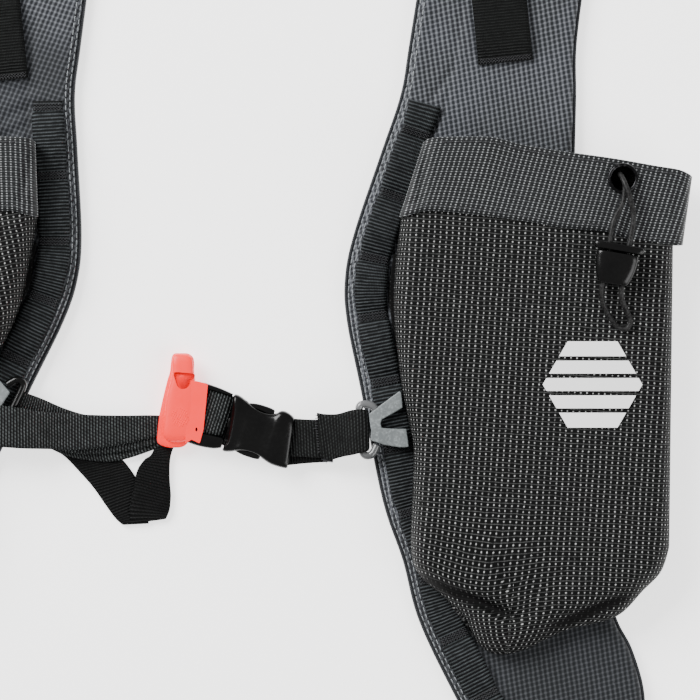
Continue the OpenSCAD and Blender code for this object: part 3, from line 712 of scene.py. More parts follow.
def edging(label, curves, node):
    """Binding folded over a cut edge: a flattened roll along each curve."""
    for k, points in enumerate(curves):
        count = len(points)
        centre = np.column_stack([points, np.full(count, 2.7)])
        heading = unit(np.gradient(points, axis=0))
        out = np.column_stack([heading[:, 1], -heading[:, 0], np.zeros(count)])
        rings = [centre + out * (BINDING_W * c) + np.array([0, 0, BINDING_H * s])
                 for c, s in superellipse(16, 2.6)]
        along = run_along(points)
        weave = [np.column_stack([np.full(count, 1.2 * j), along, along]) for j in range(16)]
        roll = tube_grid("binding_%s_%d" % (label, k), np.stack(rings, 1), np.stack(weave, 1), BINDING)
        stand_for(roll, ROOT, "binding", node)

def strap_mark(side):
    """Thread directions of a strap: across and along the cloth."""
    turn = math.radians(15.6)

    def mark(x, y):
        u = unleaned(x, y, side)
        return u * math.cos(turn) + y * math.sin(turn), -u * math.sin(turn) + y * math.cos(turn)
    return mark


# Puckers of the face cloth: (start, end, depth, half-width)
STRAP_CREASES = {
    RIGHT: [((90.4, 108.0), (79.5, 92.5), 1.3, 1.1), ((88, 103), (93, 113), -0.5, 2.0),
            ((74, 96), (66, 84), 1.0, 1.2), ((84, 90), (80, 82), 0.9, 1.2)],
    LEFT: [((-81, 86), (-66, 93), 1.6, 1.3), ((-84, 78), (-68, 86), 1.2, 1.4),
           ((-80, 97), (-64, 99), 1.0, 1.4), ((-83, 104), (-70, 105), 0.8, 1.2)]}


def padded_straps():
    for label, side in SIDES.items():
        inner = resample(lay(smooth(INNER_EDGE, 8), side), 220)
        outer = resample(lay(smooth(OUTER_EDGE, 8), side), 220)
        pad_parts(label, inner, outer, strap_mark(side),
                  ["strap_cover_" + label, "strap_liner_" + label, "strap_foam_" + label],
                  stitched=((1.8, 0.6), (17.4, 0.6)), creases=STRAP_CREASES[side],
                  cloth=CLOTH if side > 0 else SHADED_CLOTH)
        edging(label, [inner, outer], "strap_binding_" + label)


def mirrored(points):
    """A right-hand curve that ends on the centre line, carried on down the left-hand side."""
    right = smooth(points, 8)
    return np.vstack([lay(right, RIGHT), lay(right[:-1], LEFT)[::-1]])


def yoke():
    inner = resample(mirrored(NECK_ARCH), 150)
    outer = resample(mirrored(YOKE_EDGE), 150)
    pad_parts("yoke", inner, outer, lambda x, y: (x, y), ["yoke_cover", "yoke_liner", "yoke_foam"],
              stitched=((3.0, 0.5), (5.0, 0.5)))
    edging("yoke", [inner, outer], "yoke_binding")


# ---- Daisy chains, keepers and the haul loop ----

TAPE_W = 12.0
TAPE_INSET = 3.2
TACK_PITCH = 25.4
TACK_L = 5.0
LOOP_GAP = 1.3
FREE_END = {RIGHT: 9, LEFT: 0}
KEEPER_SHIFT = {RIGHT: (2.2, 6.8), LEFT: (0, 0)}


def inner_rail(side):
    return Rail(lay(smooth(INNER_EDGE, 8), side), side)


def bar_tack(name, centre, across, along, length):
    """Three short zigzag rows of thread sewn across a strap, as one mesh."""
    points, faces, weave = [], [], []
    across, along = unit(across), unit(along)
    up = np.array([0, 0, 1.0])
    steps = int(length / 0.55)
    for row in (-1.0, 0.0, 1.0):
        for k in range(steps):
            point = (centre + along * (row + (0.42 if k % 2 else -0.42))
                     + across * (length * (k / (steps - 1) - 0.5)))
            for a in range(6):
                angle = a * math.pi / 3
                points.append(point + along * (0.2 * math.cos(angle)) + up * (0.2 * math.sin(angle) + 0.05))
                weave.append((k * 0.5, a * 0.2, 0))
            if k:
                faces += hoop(len(points) - 12, 6)
        faces += end_caps(len(points) - 6 * steps, len(points) - 6, 6)
    stand_for(new_object(name, points, faces, weave, THREAD), ROOT, "ribbed_tape")

def daisy_chain(label, side):
    rail = inner_rail(side)
    start = rail.distance_at(-158)
    count = int((rail.distance_at(96) - start) / TACK_PITCH)
    last = start + count * TACK_PITCH
    end = last + TACK_L + FREE_END[side]
    s = np.arange(start, end, 0.8)
    phase = (s - start) % TACK_PITCH
    y = rail.at(s)[:, 1]
    flat = np.interp(y, [-118, -108, -46, -32], [1, 0, 0, 1])
    in_loop = np.clip((phase - TACK_L) / (TACK_PITCH - TACK_L), 0, 1)
    bulge = np.where((phase < TACK_L) | (s > last), 0.0, np.sin(math.pi * in_loop) ** 0.7)
    pinch = np.exp(-((phase - TACK_L / 2) / 2.6) ** 2)
    z = STRAP_Z + TAPE_T / 2 - 0.45 * pinch + (LOOP_GAP + 0.15) * bulge * flat
    middle = np.column_stack([rail.beside(s, np.full(len(s), TAPE_INSET + TAPE_W / 2)), z])
    out = np.column_stack([rail.outward(s), np.zeros(len(s))])
    width = TAPE_W + 0.5 * ripples(s, s * 0, 18, 2.0 + side) - 1.1 * pinch
    tape = ribbon("daisy_tape_" + label, middle, out, width, TAPE_T, TAPE, columns=9, along=s)
    stand_for(tape, ROOT, "ribbed_tape", "daisy_chain_" + label)
    for k in range(count + 1):
        at = np.array([start + k * TACK_PITCH + TACK_L / 2])
        centre = np.append(rail.beside(at, [TAPE_INSET + TAPE_W / 2])[0], STRAP_Z + TAPE_T - 0.1)
        bar_tack("tack_%s_%d" % (label, k), centre, np.append(rail.outward(at)[0], 0),
                 np.append(rail.heading(at)[0], 0), TAPE_W - 1.4)


def stitch_line(name, points, material=PALE_THREAD, slot="binding"):
    """A row of single stitches along a line of 3-D points, as one mesh."""
    pitch, length, radius = 2.6, 1.9, 0.22
    dip = np.array([(0, 0, h) for h in (-0.18, 0.06, 0.06, -0.18)])
    rail = Rail(points)
    verts, faces, weave = [], [], []
    for s in np.arange(0.5, rail.length - length, pitch):
        stations = np.linspace(s, s + length, 4)
        p = rail.at(stations) + dip
        t = unit(p[-1] - p[0])
        side = unit(np.cross(t, [0, 0, 1.0]))
        up = np.cross(side, t)
        base = len(verts)
        for k in range(4):
            for a in range(6):
                angle = a * math.pi / 3
                verts.append(p[k] + radius * (math.cos(angle) * side + math.sin(angle) * up))
                weave.append((a * 0.2, stations[k], 0))
            if k:
                faces += hoop(base + 6 * (k - 1), 6)
        faces += end_caps(base, base + 18, 6)
    stand_for(new_object(name, verts, faces, weave, material), ROOT, slot)

def edge_stitching(label, side):
    """Lock stitches beside the inner edge and outside the daisy chain."""
    rail = inner_rail(side)
    s = np.arange(rail.distance_at(-160), rail.distance_at(200), 2.0)
    for k, offset in enumerate((1.0, 2.5)):
        plan = rail.beside(s, np.full(len(s), offset))
        z = pad_profile(np.full(len(s), offset), 70.0) - 0.25
        stitch_line("edge_stitch_%s_%d" % (label, k), np.column_stack([plan, z]))


def keeper(label, side):
    at = lay([(93.5, 118)], side)[0] + KEEPER_SHIFT[side]
    turn = math.radians(6)
    axis = np.array([-math.sin(turn), math.cos(turn), 0])
    across = np.array([math.cos(turn), math.sin(turn), 0])
    t = np.linspace(-17, 17, 40)
    rise = 1.5 * np.clip((15.5 - np.abs(t)) / 5, 0, 1) ** 0.6
    height = (STRAP_Z + TAPE_T / 2 + rise)[:, None] * np.array([0, 0, 1])
    middle = np.append(at, 0) + t[:, None] * axis + height
    tape = ribbon("keeper_tape_" + label, middle, np.tile(across, (40, 1)), 20.5, 1.1, KEEPER, columns=11)
    stand_for(tape, ROOT, "ribbed_tape", "keeper_loop_" + label)
    for k, end in enumerate((-15.2, 15.2)):
        centre = np.append(at, STRAP_Z + TAPE_T + 0.15) + end * axis
        bar_tack("keeper_tack_%s_%d" % (label, k), centre, across, axis, 19)


def haul_loop():
    at = lay([(0, 292)], RIGHT)[0]
    span, rise = 84, 15
    profile = smooth([(-span / 2, 0.7), (-span / 2 + 14, 0.9), (-span / 2 + 24, rise - 5), (-12, rise + 0.7),
                      (12, rise + 0.7), (span / 2 - 24, rise - 5), (span / 2 - 14, 0.9), (span / 2, 0.7)], 10)
    middle = np.column_stack([at[0] + profile[:, 0], np.full(len(profile), at[1]), STRAP_Z + profile[:, 1]])
    tape = ribbon("haul_tape", middle, np.tile([0, 1.0, 0], (len(middle), 1)), 20, 1.8, TAPE, columns=11)
    stand_for(tape, ROOT, "ribbed_tape", "haul_loop")
    for k, end in enumerate((-1, 1)):
        centre = np.array([at[0] + end * (span / 2 - 6), at[1], STRAP_Z + 1.6])
        bar_tack("haul_tack_%d" % k, centre, (0, 1.0, 0), (1.0, 0, 0), 18)


# ---- Pockets ----

def pocket_edge(side):
    return np.vstack([smooth(POCKET_ROUND if side > 0 else POCKET_PRESSED, 8), [POCKET_CORNER]])


def folded(x, y, folds):
    """Depth of the folds at a place: each fold is (start, end, depth, half-width)."""
    depth = np.zeros_like(x)
    for start, end, deep, half in folds:
        a, b = np.array(start, float), np.array(end, float)
        along = unit(b - a)
        length = np.linalg.norm(b - a)
        dx, dy = x - a[0], y - a[1]
        s = np.clip(dx * along[0] + dy * along[1], 0, length)
        d = np.hypot(dx - s * along[0], dy - s * along[1])
        fade = np.sin(math.pi * np.clip((s / length) * 0.9 + 0.1, 0, 1)) ** 0.6
        depth += deep * fade * np.exp(-(d / half) ** 2)
    return depth


def edge_distance(x, y, outline):
    """Distance from each place to a line of points."""
    best = np.full(x.shape, 1e9)
    for a, b in zip(outline[:-1], outline[1:]):
        ab = b - a
        t = np.clip(((x - a[0]) * ab[0] + (y - a[1]) * ab[1]) / max(ab @ ab, 1e-9), 0, 1)
        best = np.minimum(best, np.hypot(x - a[0] - t * ab[0], y - a[1] - t * ab[1]))
    return best


FOLDS = [((76, -84.3), (115, -101.3), 4.4, 2.4), ((103.5, -77.5), (112.5, -92), 1.7, 2.0),
         ((154, -91.5), (122, -104.6), 4.4, 2.3), ((117, -86), (118, -100), 1.2, 3.0),
         ((96, -80), (108, -93), -1.0, 3.2), ((140, -84), (124, -99), -1.2, 4.0)]


def pocket_height(x, y, side):
    """Height of the pocket's front: full in the middle, round at its sewn edge, folded at its foot."""
    foot = np.clip((y + 114) / 46, 0, 1)
    rim = 8.0 + 5.0 * (1 - foot)
    bend = np.clip(edge_distance(x, y, lay(pocket_edge(side), side)) / rim, 0, 1)
    full = np.sqrt(np.clip(1 - (1 - bend) ** 2.4, 0, 1))
    high = 12.9 - 4.2 * (1 - foot) ** 1.5
    creases = folded(on_right(x, y, side), y, FOLDS)
    crumple = 0.30 * ripples(x, y, 26, 7.0) + 0.16 * ripples(x, y, 9, 3.0)
    z = POCKET_Z + 0.9 + full * (high + crumple * bend - creases * bend)
    return np.clip(z, POCKET_Z + 0.4, POCKET_TOP)

def pocket_grid(side, rows, cols):
    """Places over the pocket's front, row by row from its mouth to its foot."""
    edge = pocket_edge(side)
    split = len(edge) - 6 - 7 * 8
    plan = between(resample(edge[:split], rows), resample(edge[split - 1:][::-1], rows), eased(cols, 0.5))
    flat = lay(plan.reshape(-1, 2), side).reshape(rows, cols, 2)
    return flat[..., 0], flat[..., 1]

def cloth_coordinates(x, y, z, turn):
    """Thread coordinates of a draped front: the plan turned by an angle, with the drop at its sides added."""
    a = math.radians(turn)
    across, along = x * math.cos(a) + y * math.sin(a), -x * math.sin(a) + y * math.cos(a)
    drop = np.maximum(0, POCKET_TOP - 1.5 - z)
    middle = across.mean()
    return across + np.sign(across - middle) * drop * 0.6, along


def pocket(label, side):
    x, y = pocket_grid(side, 150, 110)
    z = pocket_height(x, y, side)
    # more rows at the mouth, which run up under the hem
    lift = 5.0 * np.linspace(1, 0, 6)[:, None]
    x = np.vstack([x[:1] + LEAN * lift, x[1:]])
    y = np.vstack([y[:1] + lift, y[1:]])
    z = np.vstack([np.minimum(z[:1], POCKET_TOP - 1.4 + 0 * lift), z[1:]])
    across, along = cloth_coordinates(x, y, z, -4 if side > 0 else 12)
    gather = np.exp(-((unleaned(x, y, side) - 116) ** 2 + (y + 92) ** 2) / 500.0)
    across, along = across + 2.5 * gather, along + 7.0 * gather
    # The fold depth, kept in the weave, sets the painted shade of the folds.
    depth = np.maximum(0, folded(on_right(x, y, side), y, FOLDS))
    front = grid("mesh_front_" + label, np.dstack([x, y, z]), np.dstack([across, along, depth]), MESH)
    thick(front, 0.7)
    back = grid("pocket_lining_" + label, np.dstack([x, y, np.full_like(x, POCKET_Z + 0.75)]),
                np.dstack([across, along, 0 * z]), MESH)
    thick(back, 0.6)
    for piece in (front, back):
        stand_for(piece, ROOT, "pocket_mesh", "pocket_body_" + label)

HEM_LOW = [(67.3, 49.7), (71.7, 50.4), (77.2, 51.6), (88.1, 51), (112.9, 48), (128.3, 45.4), (145, 43.9),
           (155.9, 40.4), (169.9, 39.2), (174.5, 39)]
HEM_HIGH = [(72.3, 77.4), (75.7, 78.8), (90.4, 79.2), (99.1, 78.8), (108.9, 76.3), (124.2, 73.8),
            (143.8, 71.1), (159.5, 68.4), (168.6, 66.9), (174.4, 64.5)]


EYELET_AT = (148.1, 63.6)
EYELET_R = 4.25
HEM_FOLDS = [((79.0, 77), (75.5, 55), 2.6, 1.3), ((74.5, 73), (70.5, 56), -0.5, 2.0),
             ((70, 53.5), (79, 56.5), 1.4, 1.2), ((172.5, 62), (170.0, 44), 1.3, 1.1)]


def hem(label, side):
    """The doubled band round the pocket's mouth: a flattened ring of cloth."""
    rows, cols = 26, 90
    half_h = (HEM_TOP - POCKET_Z) / 2 - 0.5
    mid_z = POCKET_Z + half_h + 0.5
    low = lay(resample(smooth(HEM_LOW, 8), cols), side)
    high = lay(resample(smooth(HEM_HIGH, 8), cols), side)
    low_len = Rail(low).length
    share = np.linspace(0, 1, cols)
    to_end = np.minimum(share, 1 - share) * low_len
    bulge, loose = rounding(to_end, 5.0), np.clip(to_end / 5.0, 0, 1)
    rings, weave = [], []
    for v in np.linspace(0, 1, rows):
        line = low * (1 - v) + high * v
        x, y = line.T
        rx = on_right(x, y, side)
        pucker = 0.35 * ripples(x, y, 16, 9.0) + 0.16 * ripples(x, y, 5, 2.0)
        sag = 0.5 * math.sin(math.pi * v)
        roll = 0.5 * math.exp(-((v - 1) / 0.05) ** 2) + 0.5 * math.exp(-(v / 0.06) ** 2)
        tuck = folded(rx, y, HEM_FOLDS)
        away = 1 - np.exp(-((rx - EYELET_AT[0]) ** 2 + (y - EYELET_AT[1]) ** 2) / 64)
        front_z = mid_z + bulge * (half_h - 0.15 - sag * away + pucker * loose * away - roll - tuck)
        back_z = mid_z - bulge * (half_h - 0.2)
        rings.append(np.vstack([np.column_stack([line, front_z]),
                                np.column_stack([line, back_z])[::-1][1:-1]]))
        s, along = Rail(line).s, np.full(cols, v * 29.0)
        weave.append(np.vstack([np.column_stack([s, along, front_z]),
                                np.column_stack([low_len * 2 + 8 - s, along, back_z])[::-1][1:-1]]))
    points = np.stack(rings)
    obj = new_object("hem_band_" + label, points.reshape(-1, 3), quads(rows, points.shape[1], wrap=True),
                     np.stack(weave).reshape(-1, 3), HEM)
    thick(obj, 1.1)
    cut_hole(obj, np.append(lay([EYELET_AT], side)[0], HEM_TOP), EYELET_R + 0.35)
    stand_for(obj, ROOT, "grid_cloth", "pocket_hem_" + label)
    for k, v in enumerate((0.075, 0.93)):
        line = low * (1 - v) + high * v
        seam = np.column_stack([line, points[int(v * (rows - 1))][:cols, 2] + 0.05])[6:-6]
        stitch_line("hem_stitch_%s_%d" % (label, k), seam, THREAD, "grid_cloth")

def cut_hole(obj, at, radius):
    """Drills a round hole through the front of a thin piece."""
    bpy.ops.mesh.primitive_cylinder_add(vertices=40, radius=radius * MM, depth=7 * MM,
                                        location=tuple((at - CENTRE) * MM))
    carve(obj, bpy.context.object)

def eyelet(label, side):
    at = lay([EYELET_AT], side)[0]
    ring = [(EYELET_R + 0.72 + 0.72 * math.cos(a), HEM_TOP + 0.75 + 0.62 * math.sin(a))
            for a in np.radians(np.linspace(-60, 180, 13))]
    section = ring + [(EYELET_R - 0.02, HEM_TOP - 5.0), (EYELET_R + 0.3, HEM_TOP - 5.0),
                      (EYELET_R + 0.35, HEM_TOP - 1.4)]
    n, cols = 64, len(section)
    points = [(at[0] + r * math.cos(a), at[1] + r * math.sin(a), z)
              for a in np.linspace(0, 2 * math.pi, n, endpoint=False) for r, z in section]
    faces = quads(n, cols, wrap=True)
    faces += [((n - 1) * cols + j, (n - 1) * cols + (j + 1) % cols, (j + 1) % cols, j) for j in range(cols)]
    obj = new_object("eyelet_ring_" + label, points, faces, points, METAL)
    stand_for(obj, ROOT, "eyelet_metal", "eyelet_" + label)
    # the hem's inner layer that is seen through the ring, made near-black: painted shade inside the hem
    radii, angles = np.linspace(0.2, EYELET_R + 0.9, 6)[:, None], np.linspace(0, 2 * math.pi, 33)[None, :]
    x, y = at[0] + radii * np.cos(angles), at[1] + radii * np.sin(angles)
    places = np.dstack([x, y, HEM_TOP - 5.2 + 0.12 * ripples(x, y, 4, 3.0)])
    inner = grid("hem_facing_" + label, places, places, KEEPER)
    thick(inner, 0.4)
    stand_for(inner, ROOT, "binding", "pocket_hem_" + label)

# ---- Moulded pieces ----

def as_they_are(points):
    return np.asarray(points, float)


def loft(name, stations, material, place=as_they_are, power=5.0, count=44):
    """A closed form through rounded sections, each (along, across low, across high, low, high)."""
    ring = superellipse(count, power)
    rows = []
    for x, y0, y1, z0, z1 in smooth(stations, 5):
        rows.append(np.column_stack([np.full(count, x), (y0 + y1) / 2 + (y1 - y0) / 2 * ring[:, 0],
                                     (z0 + z1) / 2 + (z1 - z0) / 2 * ring[:, 1]]))
    points = np.stack(rows)
    flat = points.reshape(-1, 3)
    return tube_grid(name, place(flat).reshape(points.shape), points, material)


def prism(name, outline, low, high, material, place=as_they_are):
    """A plate with a given outline. The heights may differ from corner to corner."""
    n = len(outline)
    low, high = np.broadcast_to(low, n), np.broadcast_to(high, n)
    points = place([(x, y, z) for (x, y), z in zip(outline, low)]
                   + [(x, y, z) for (x, y), z in zip(outline, high)])
    return new_object(name, points, end_caps(0, n, n) + hoop(0, n), points, material)


def carve(obj, cutter):
    modifier(obj, "BOOLEAN", operation="DIFFERENCE", solver="EXACT", object=cutter)
    apply_modifiers(obj)
    bpy.data.objects.remove(cutter, do_unlink=True)


def bevel(obj, radius, angle):
    """Rounds the edges that are sharper than an angle."""
    modifier(obj, "BEVEL", width=radius * MM, segments=3, limit_method="ANGLE",
             angle_limit=math.radians(angle), use_clamp_overlap=True)
    apply_modifiers(obj)
    shade_smooth(obj.data)

def finish_edges(obj, radius, angle=32):
    """Rounds the sharp edges of a moulded piece, and shades its faces evenly."""
    bevel(obj, radius, angle)
    obj.data.set_sharp_from_angle(angle=math.radians(40))
    modifier(obj, "WEIGHTED_NORMAL", keep_sharp=True)

def tube(name, path, radius, material, sides=14):
    """A round bar along a path."""
    path = np.asarray(path, float)
    heading = unit(np.gradient(path, axis=0))
    side = unit(np.cross(heading, np.array([0.13, 0.21, 1.0])))
    up = np.cross(side, heading)
    angle = np.linspace(0, 2 * math.pi, sides, endpoint=False)
    points = np.stack([path + radius * (math.cos(a) * side + math.sin(a) * up) for a in angle], 1)
    return tube_grid(name, points, points, material)


# ---- Sternum strap ----

CLIP_AT = {RIGHT: (57.1, -28.7, 10), LEFT: (-78.9, -20.6, 158)}
CLIP_Z = 9.7
CLIP_PLATE = [(57.3, -23.9), (63.0, -19.6), (68.7, -15.4), (69.5, -15.9), (69.8, -19.0), (70.0, -21.6),
              (66.0, -23.9), (62.1, -26.0), (61.7, -27.6), (62.1, -29.1), (66.0, -29.4), (71.4, -29.5),
              (71.9, -33.0), (72.3, -36.3), (68.6, -36.4), (63.0, -35.4), (57.9, -33.8), (58.1, -30.0),
              (57.6, -26.8)]
CLIP_BAR = [(60.2, -22.6, 10.8), (58.6, -20.9, 11), (56.2, -20.2, 11), (54.3, -20.6, 11),
            (53.6, -22.6, 11), (54.0, -29.6, 11), (54.8, -36.6, 11), (55.4, -38.9, 11),
            (57.0, -39.6, 11), (58.8, -38.6, 11), (60.4, -35.6, 10.8)]


def at_clip(side):
    """Moves the right clip's points to the place of the clip on that side."""
    x0, y0, turn0 = CLIP_AT[RIGHT]
    x1, y1, turn1 = CLIP_AT[side]

    def place(points):
        return turned(np.atleast_2d(points) - (x0, y0, 0), turn1 - turn0, (x1, y1))
    return place

def clip(label, side):
    plate = prism("clip_plate_" + label, CLIP_PLATE, CLIP_Z, CLIP_Z + 2.7, GREY, at_clip(side))
    finish_edges(plate, 0.45)
    stand_for(plate, ROOT, "grey_acetal", "sternum_clip_" + label)
    bar = tube("clip_bar_" + label, at_clip(side)(smooth(CLIP_BAR, 6)), 1.45,
               CLEAR_GREY if side > 0 else BLACK)
    stand_for(bar, ROOT, "grey_acetal", "sternum_clip_" + label)


def web(name, upper, lower, material=WEB, place=as_they_are):
    """Webbing between two edge lines of [x, y, height] points."""
    a, b = smooth(upper, 8), smooth(lower, 8)
    rail = Rail((a + b) / 2)
    at = np.linspace(0, rail.length, int(rail.length / 0.7))
    a, b = (np.column_stack([np.interp(at, rail.s, edge[:, k]) for k in range(3)]) for edge in (a, b))
    middle = (a + b) / 2
    middle[:, 2] += 0.12 * ripples(middle[:, 0], middle[:, 1], 9, 5.0)
    return ribbon(name, place(middle), place(a) - place(b), np.linalg.norm(a - b, axis=1), WEB_T, material,
                  columns=15, square=False)

def cross_joint(piece, node):
    """Webbing from the left clip to the sliding half of the buckle."""
    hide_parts(node)
    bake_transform(piece)


def frayed(name, a, b, heading, z):
    """Loose yarn ends along a cut across the webbing."""
    count = 15
    side = np.array([-heading[1], heading[0]])
    verts, faces = [], []
    for k in range(count):
        f = (k + 0.5) / count
        root = np.array(a) * (1 - f) + np.array(b) * f
        reach = 0.7 + 1.8 * abs(ripple(k * 1.7, 3.0, 1.0, 2.0))
        tip = root + np.array(heading) * reach + side * (0.8 * ripple(k * 2.3, 1.0, 1.0, 8.0))
        for place, radius, h in ((root, 0.24, z), ((root + tip) / 2, 0.2, z + 0.1), (tip, 0.08, z - 0.2)):
            for angle in np.arange(5) * 2 * math.pi / 5:
                verts.append((*(place + side * (radius * math.cos(angle))), h + radius * math.sin(angle)))
        base = len(verts) - 15
        faces += hoop(base, 5) + hoop(base + 5, 5) + end_caps(base, base + 10, 5)
    stand_for(new_object(name, verts, faces, verts, THREAD), ROOT, "sternum_web")

def sternum_webs():
    right = web(
        "web_strap_right",
        [(22.5, -25.6, 6.5), (27.1, -25.7, 6.6), (33.4, -26.0, 6.9), (37.5, -26.1, 7.1), (43.5, -25.6, 7.6),
         (50, -23.9, 8.6), (54.6, -22.9, 9.3), (56.6, -22.7, 10.9), (55.2, -22.2, 12.6), (51, -22.4, 12.4),
         (47.6, -23.4, 11.0), (44.9, -24.0, 9.9), (41, -24.0, 9.1), (37.8, -23.5, 8.8)],
        [(22.0, -39.9, 6.3), (28.2, -39.9, 6.4), (34, -40.2, 6.7), (38.5, -40.4, 7.0), (44, -40.4, 7.5),
         (51, -39.4, 8.6), (55.6, -38.1, 9.3), (57.1, -37.6, 10.9), (55.6, -38.2, 12.6), (52, -39.0, 12.4),
         (48.6, -39.7, 11.0), (46.0, -40.4, 9.8), (43.0, -41.2, 8.9), (39.8, -40.6, 8.6)], SHADED_WEB)
    stand_for(right, ROOT, "sternum_web", "web_right", "web_wrap_female")
    inner = web("web_inner_right",
                [(25.5, -28, 4.6), (34, -28.6, 4.9), (43.5, -28.4, 5.6)],
                [(26.5, -43.4, 4.4), (34, -42.6, 4.7), (43.9, -42.0, 5.4)], DEEP_SHADE_WEB)
    stand_for(inner, ROOT, "sternum_web", "web_right")
    frayed("web_fray_right", (37.9, -24.0), (38.9, -38.6), (-0.97, 0.1), 8.8)
    frayed("web_fray_low", (39.6, -40.6), (43.6, -41.6), (0.1, -0.98), 6.2)
    left = web("web_strap_left",
               [(-91.5, -19.9, 13.3), (-81, -20.6, 13.3), (-73, -21.6, 13.2), (-67, -22.8, 11.6),
                (-60, -23.6, 8.6), (-51, -24.2, 6.9), (-36, -24.6, 6.2), (-24, -24.5, 6.1),
                (-14.5, -25, 6.0)],
               [(-91.5, -35.6, 13.3), (-81, -36.2, 13.3), (-73, -36.8, 13.0), (-67, -37.0, 11.0),
                (-60, -37.2, 7.8), (-51, -37.4, 5.8), (-36, -35.6, 4.9), (-24, -33.0, 4.8),
                (-14.5, -32.6, 5.0)])
    cross_joint(left, "web_left")
    under = web("web_strap_under",
                [(-73.6, -15.2, 10.8), (-66, -18, 7.0), (-56.6, -22.1, 5.0), (-47.2, -24.6, 4.4),
                 (-32.2, -25.1, 4.3), (-21, -25.9, 4.4)],
                [(-81, -30, 10.8), (-69.8, -34.9, 6.4), (-57.8, -38, 4.2), (-47.2, -39.3, 3.4),
                 (-32.2, -37.9, 3.2), (-18.8, -34.1, 3.6)])
    cross_joint(under, "web_under")
    third = web("web_tail_upper",
                [(-69.8, -28.1, 2.3), (-58.5, -29.8, 2.2), (-40.9, -30.4, 2.0), (-24.8, -29, 2.4)],
                [(-64.1, -36.4, 2.2), (-54.4, -40.4, 1.9), (-38.0, -41.9, 1.8), (-19.5, -36, 2.6)])
    cross_joint(third, "web_slack")
    leg_a = web("web_tail_outer",
                [(-66, -35.6, 0.8), (-62.3, -37.2, 0.7), (-57.3, -40.2, 0.66), (-51.6, -46.1, 0.66),
                 (-46.6, -51.8, 0.66), (-41.9, -58.5, 0.66), (-38.2, -63.5, 0.7), (-35.4, -65.9, 1.3)],
                [(-50, -31, 0.8), (-46, -34.6, 0.7), (-39.8, -37.6, 0.66), (-34.9, -42, 0.66),
                 (-30.7, -47.7, 0.66), (-27.8, -53.2, 0.66), (-26.2, -59.2, 0.7), (-25.6, -65.4, 1.3)], DEEP_SHADE_WEB)
    cross_joint(leg_a, "web_slack")
    leg_b = web("web_tail_inner",
                [(-21.8, -32, 2.6), (-24.4, -39, 2.2), (-27, -41.1, 2.1), (-29.4, -44.2, 2.0),
                 (-30.6, -47.7, 2.0), (-31, -51, 2.0), (-32.2, -56.4, 2.0), (-32.8, -60.8, 1.9),
                 (-32.6, -65.4, 1.3)],
                [(-14, -32, 2.6), (-16.5, -37.5, 2.2), (-17.5, -41.6, 2.1), (-17.7, -46.9, 2.0),
                 (-17.5, -51, 2.0), (-17.2, -54.8, 2.0), (-17.6, -59.6, 2.0), (-18.3, -61.9, 1.9),
                 (-19.1, -63.6, 1.3)], DEEP_SHADE_WEB)
    cross_joint(leg_b, "web_slack")
    wrap = web("web_wrap_male",
               [(-13.4, 8.8, 0.6), (-10, 9.4, 1.3), (-6, 9.5, 1.4), (-2.6, 9.4, 1.2), (-0.9, 9.3, 0.0),
                (-3, 9.0, -1.4), (-11, 8.8, -1.6)],
               [(-13.4, -6.9, 0.6), (-10, -6.8, 1.3), (-6, -6.4, 1.4), (-2.6, -6.0, 1.2), (-0.9, -6.0, 0.0),
                (-3, -6.4, -1.4), (-11, -6.9, -1.6)], place=at_buckle)
    stand_for(wrap, MALE, "sternum_web", "web_wrap_male")


# ---- Side release buckle and whistle ----

BUCKLE_AT = (4.8, -27.2)
BUCKLE_TURN = -18
BUCKLE_Z = 5.8


def at_buckle(points):
    return turned(points, BUCKLE_TURN, BUCKLE_AT) + (0, 0, BUCKLE_Z)

def rectangle(x0, x1, y0, y1):
    return [(x0, y0), (x1, y0), (x1, y1), (x0, y1)]

def box_cutter(x0, x1, y0, y1, z0, z1):
    return prism("cutter", rectangle(x0, x1, y0, y1), z0, z1, BLACK, at_buckle)

def socket_place(points):
    """The socket's mouth is bowed and its back end is cut at a slant."""
    p = np.atleast_2d(np.array(points, float))
    x, y = p[:, 0], p[:, 1]
    mouth = np.interp(y, [-10.8, -6.8, -3, 1.3, 5, 8.5, 11], [0.2, 1.5, 1.4, 0.7, 0.1, -1.2, -1.8])
    back = np.interp(y, [-10, 10.5], [1.7, -2.0])
    x = x + mouth * np.clip((7 - x) / 6, 0, 1) + back * np.clip((x - 16) / 8, 0, 1)
    return at_buckle(np.column_stack([x, y, p[:, 2]]))


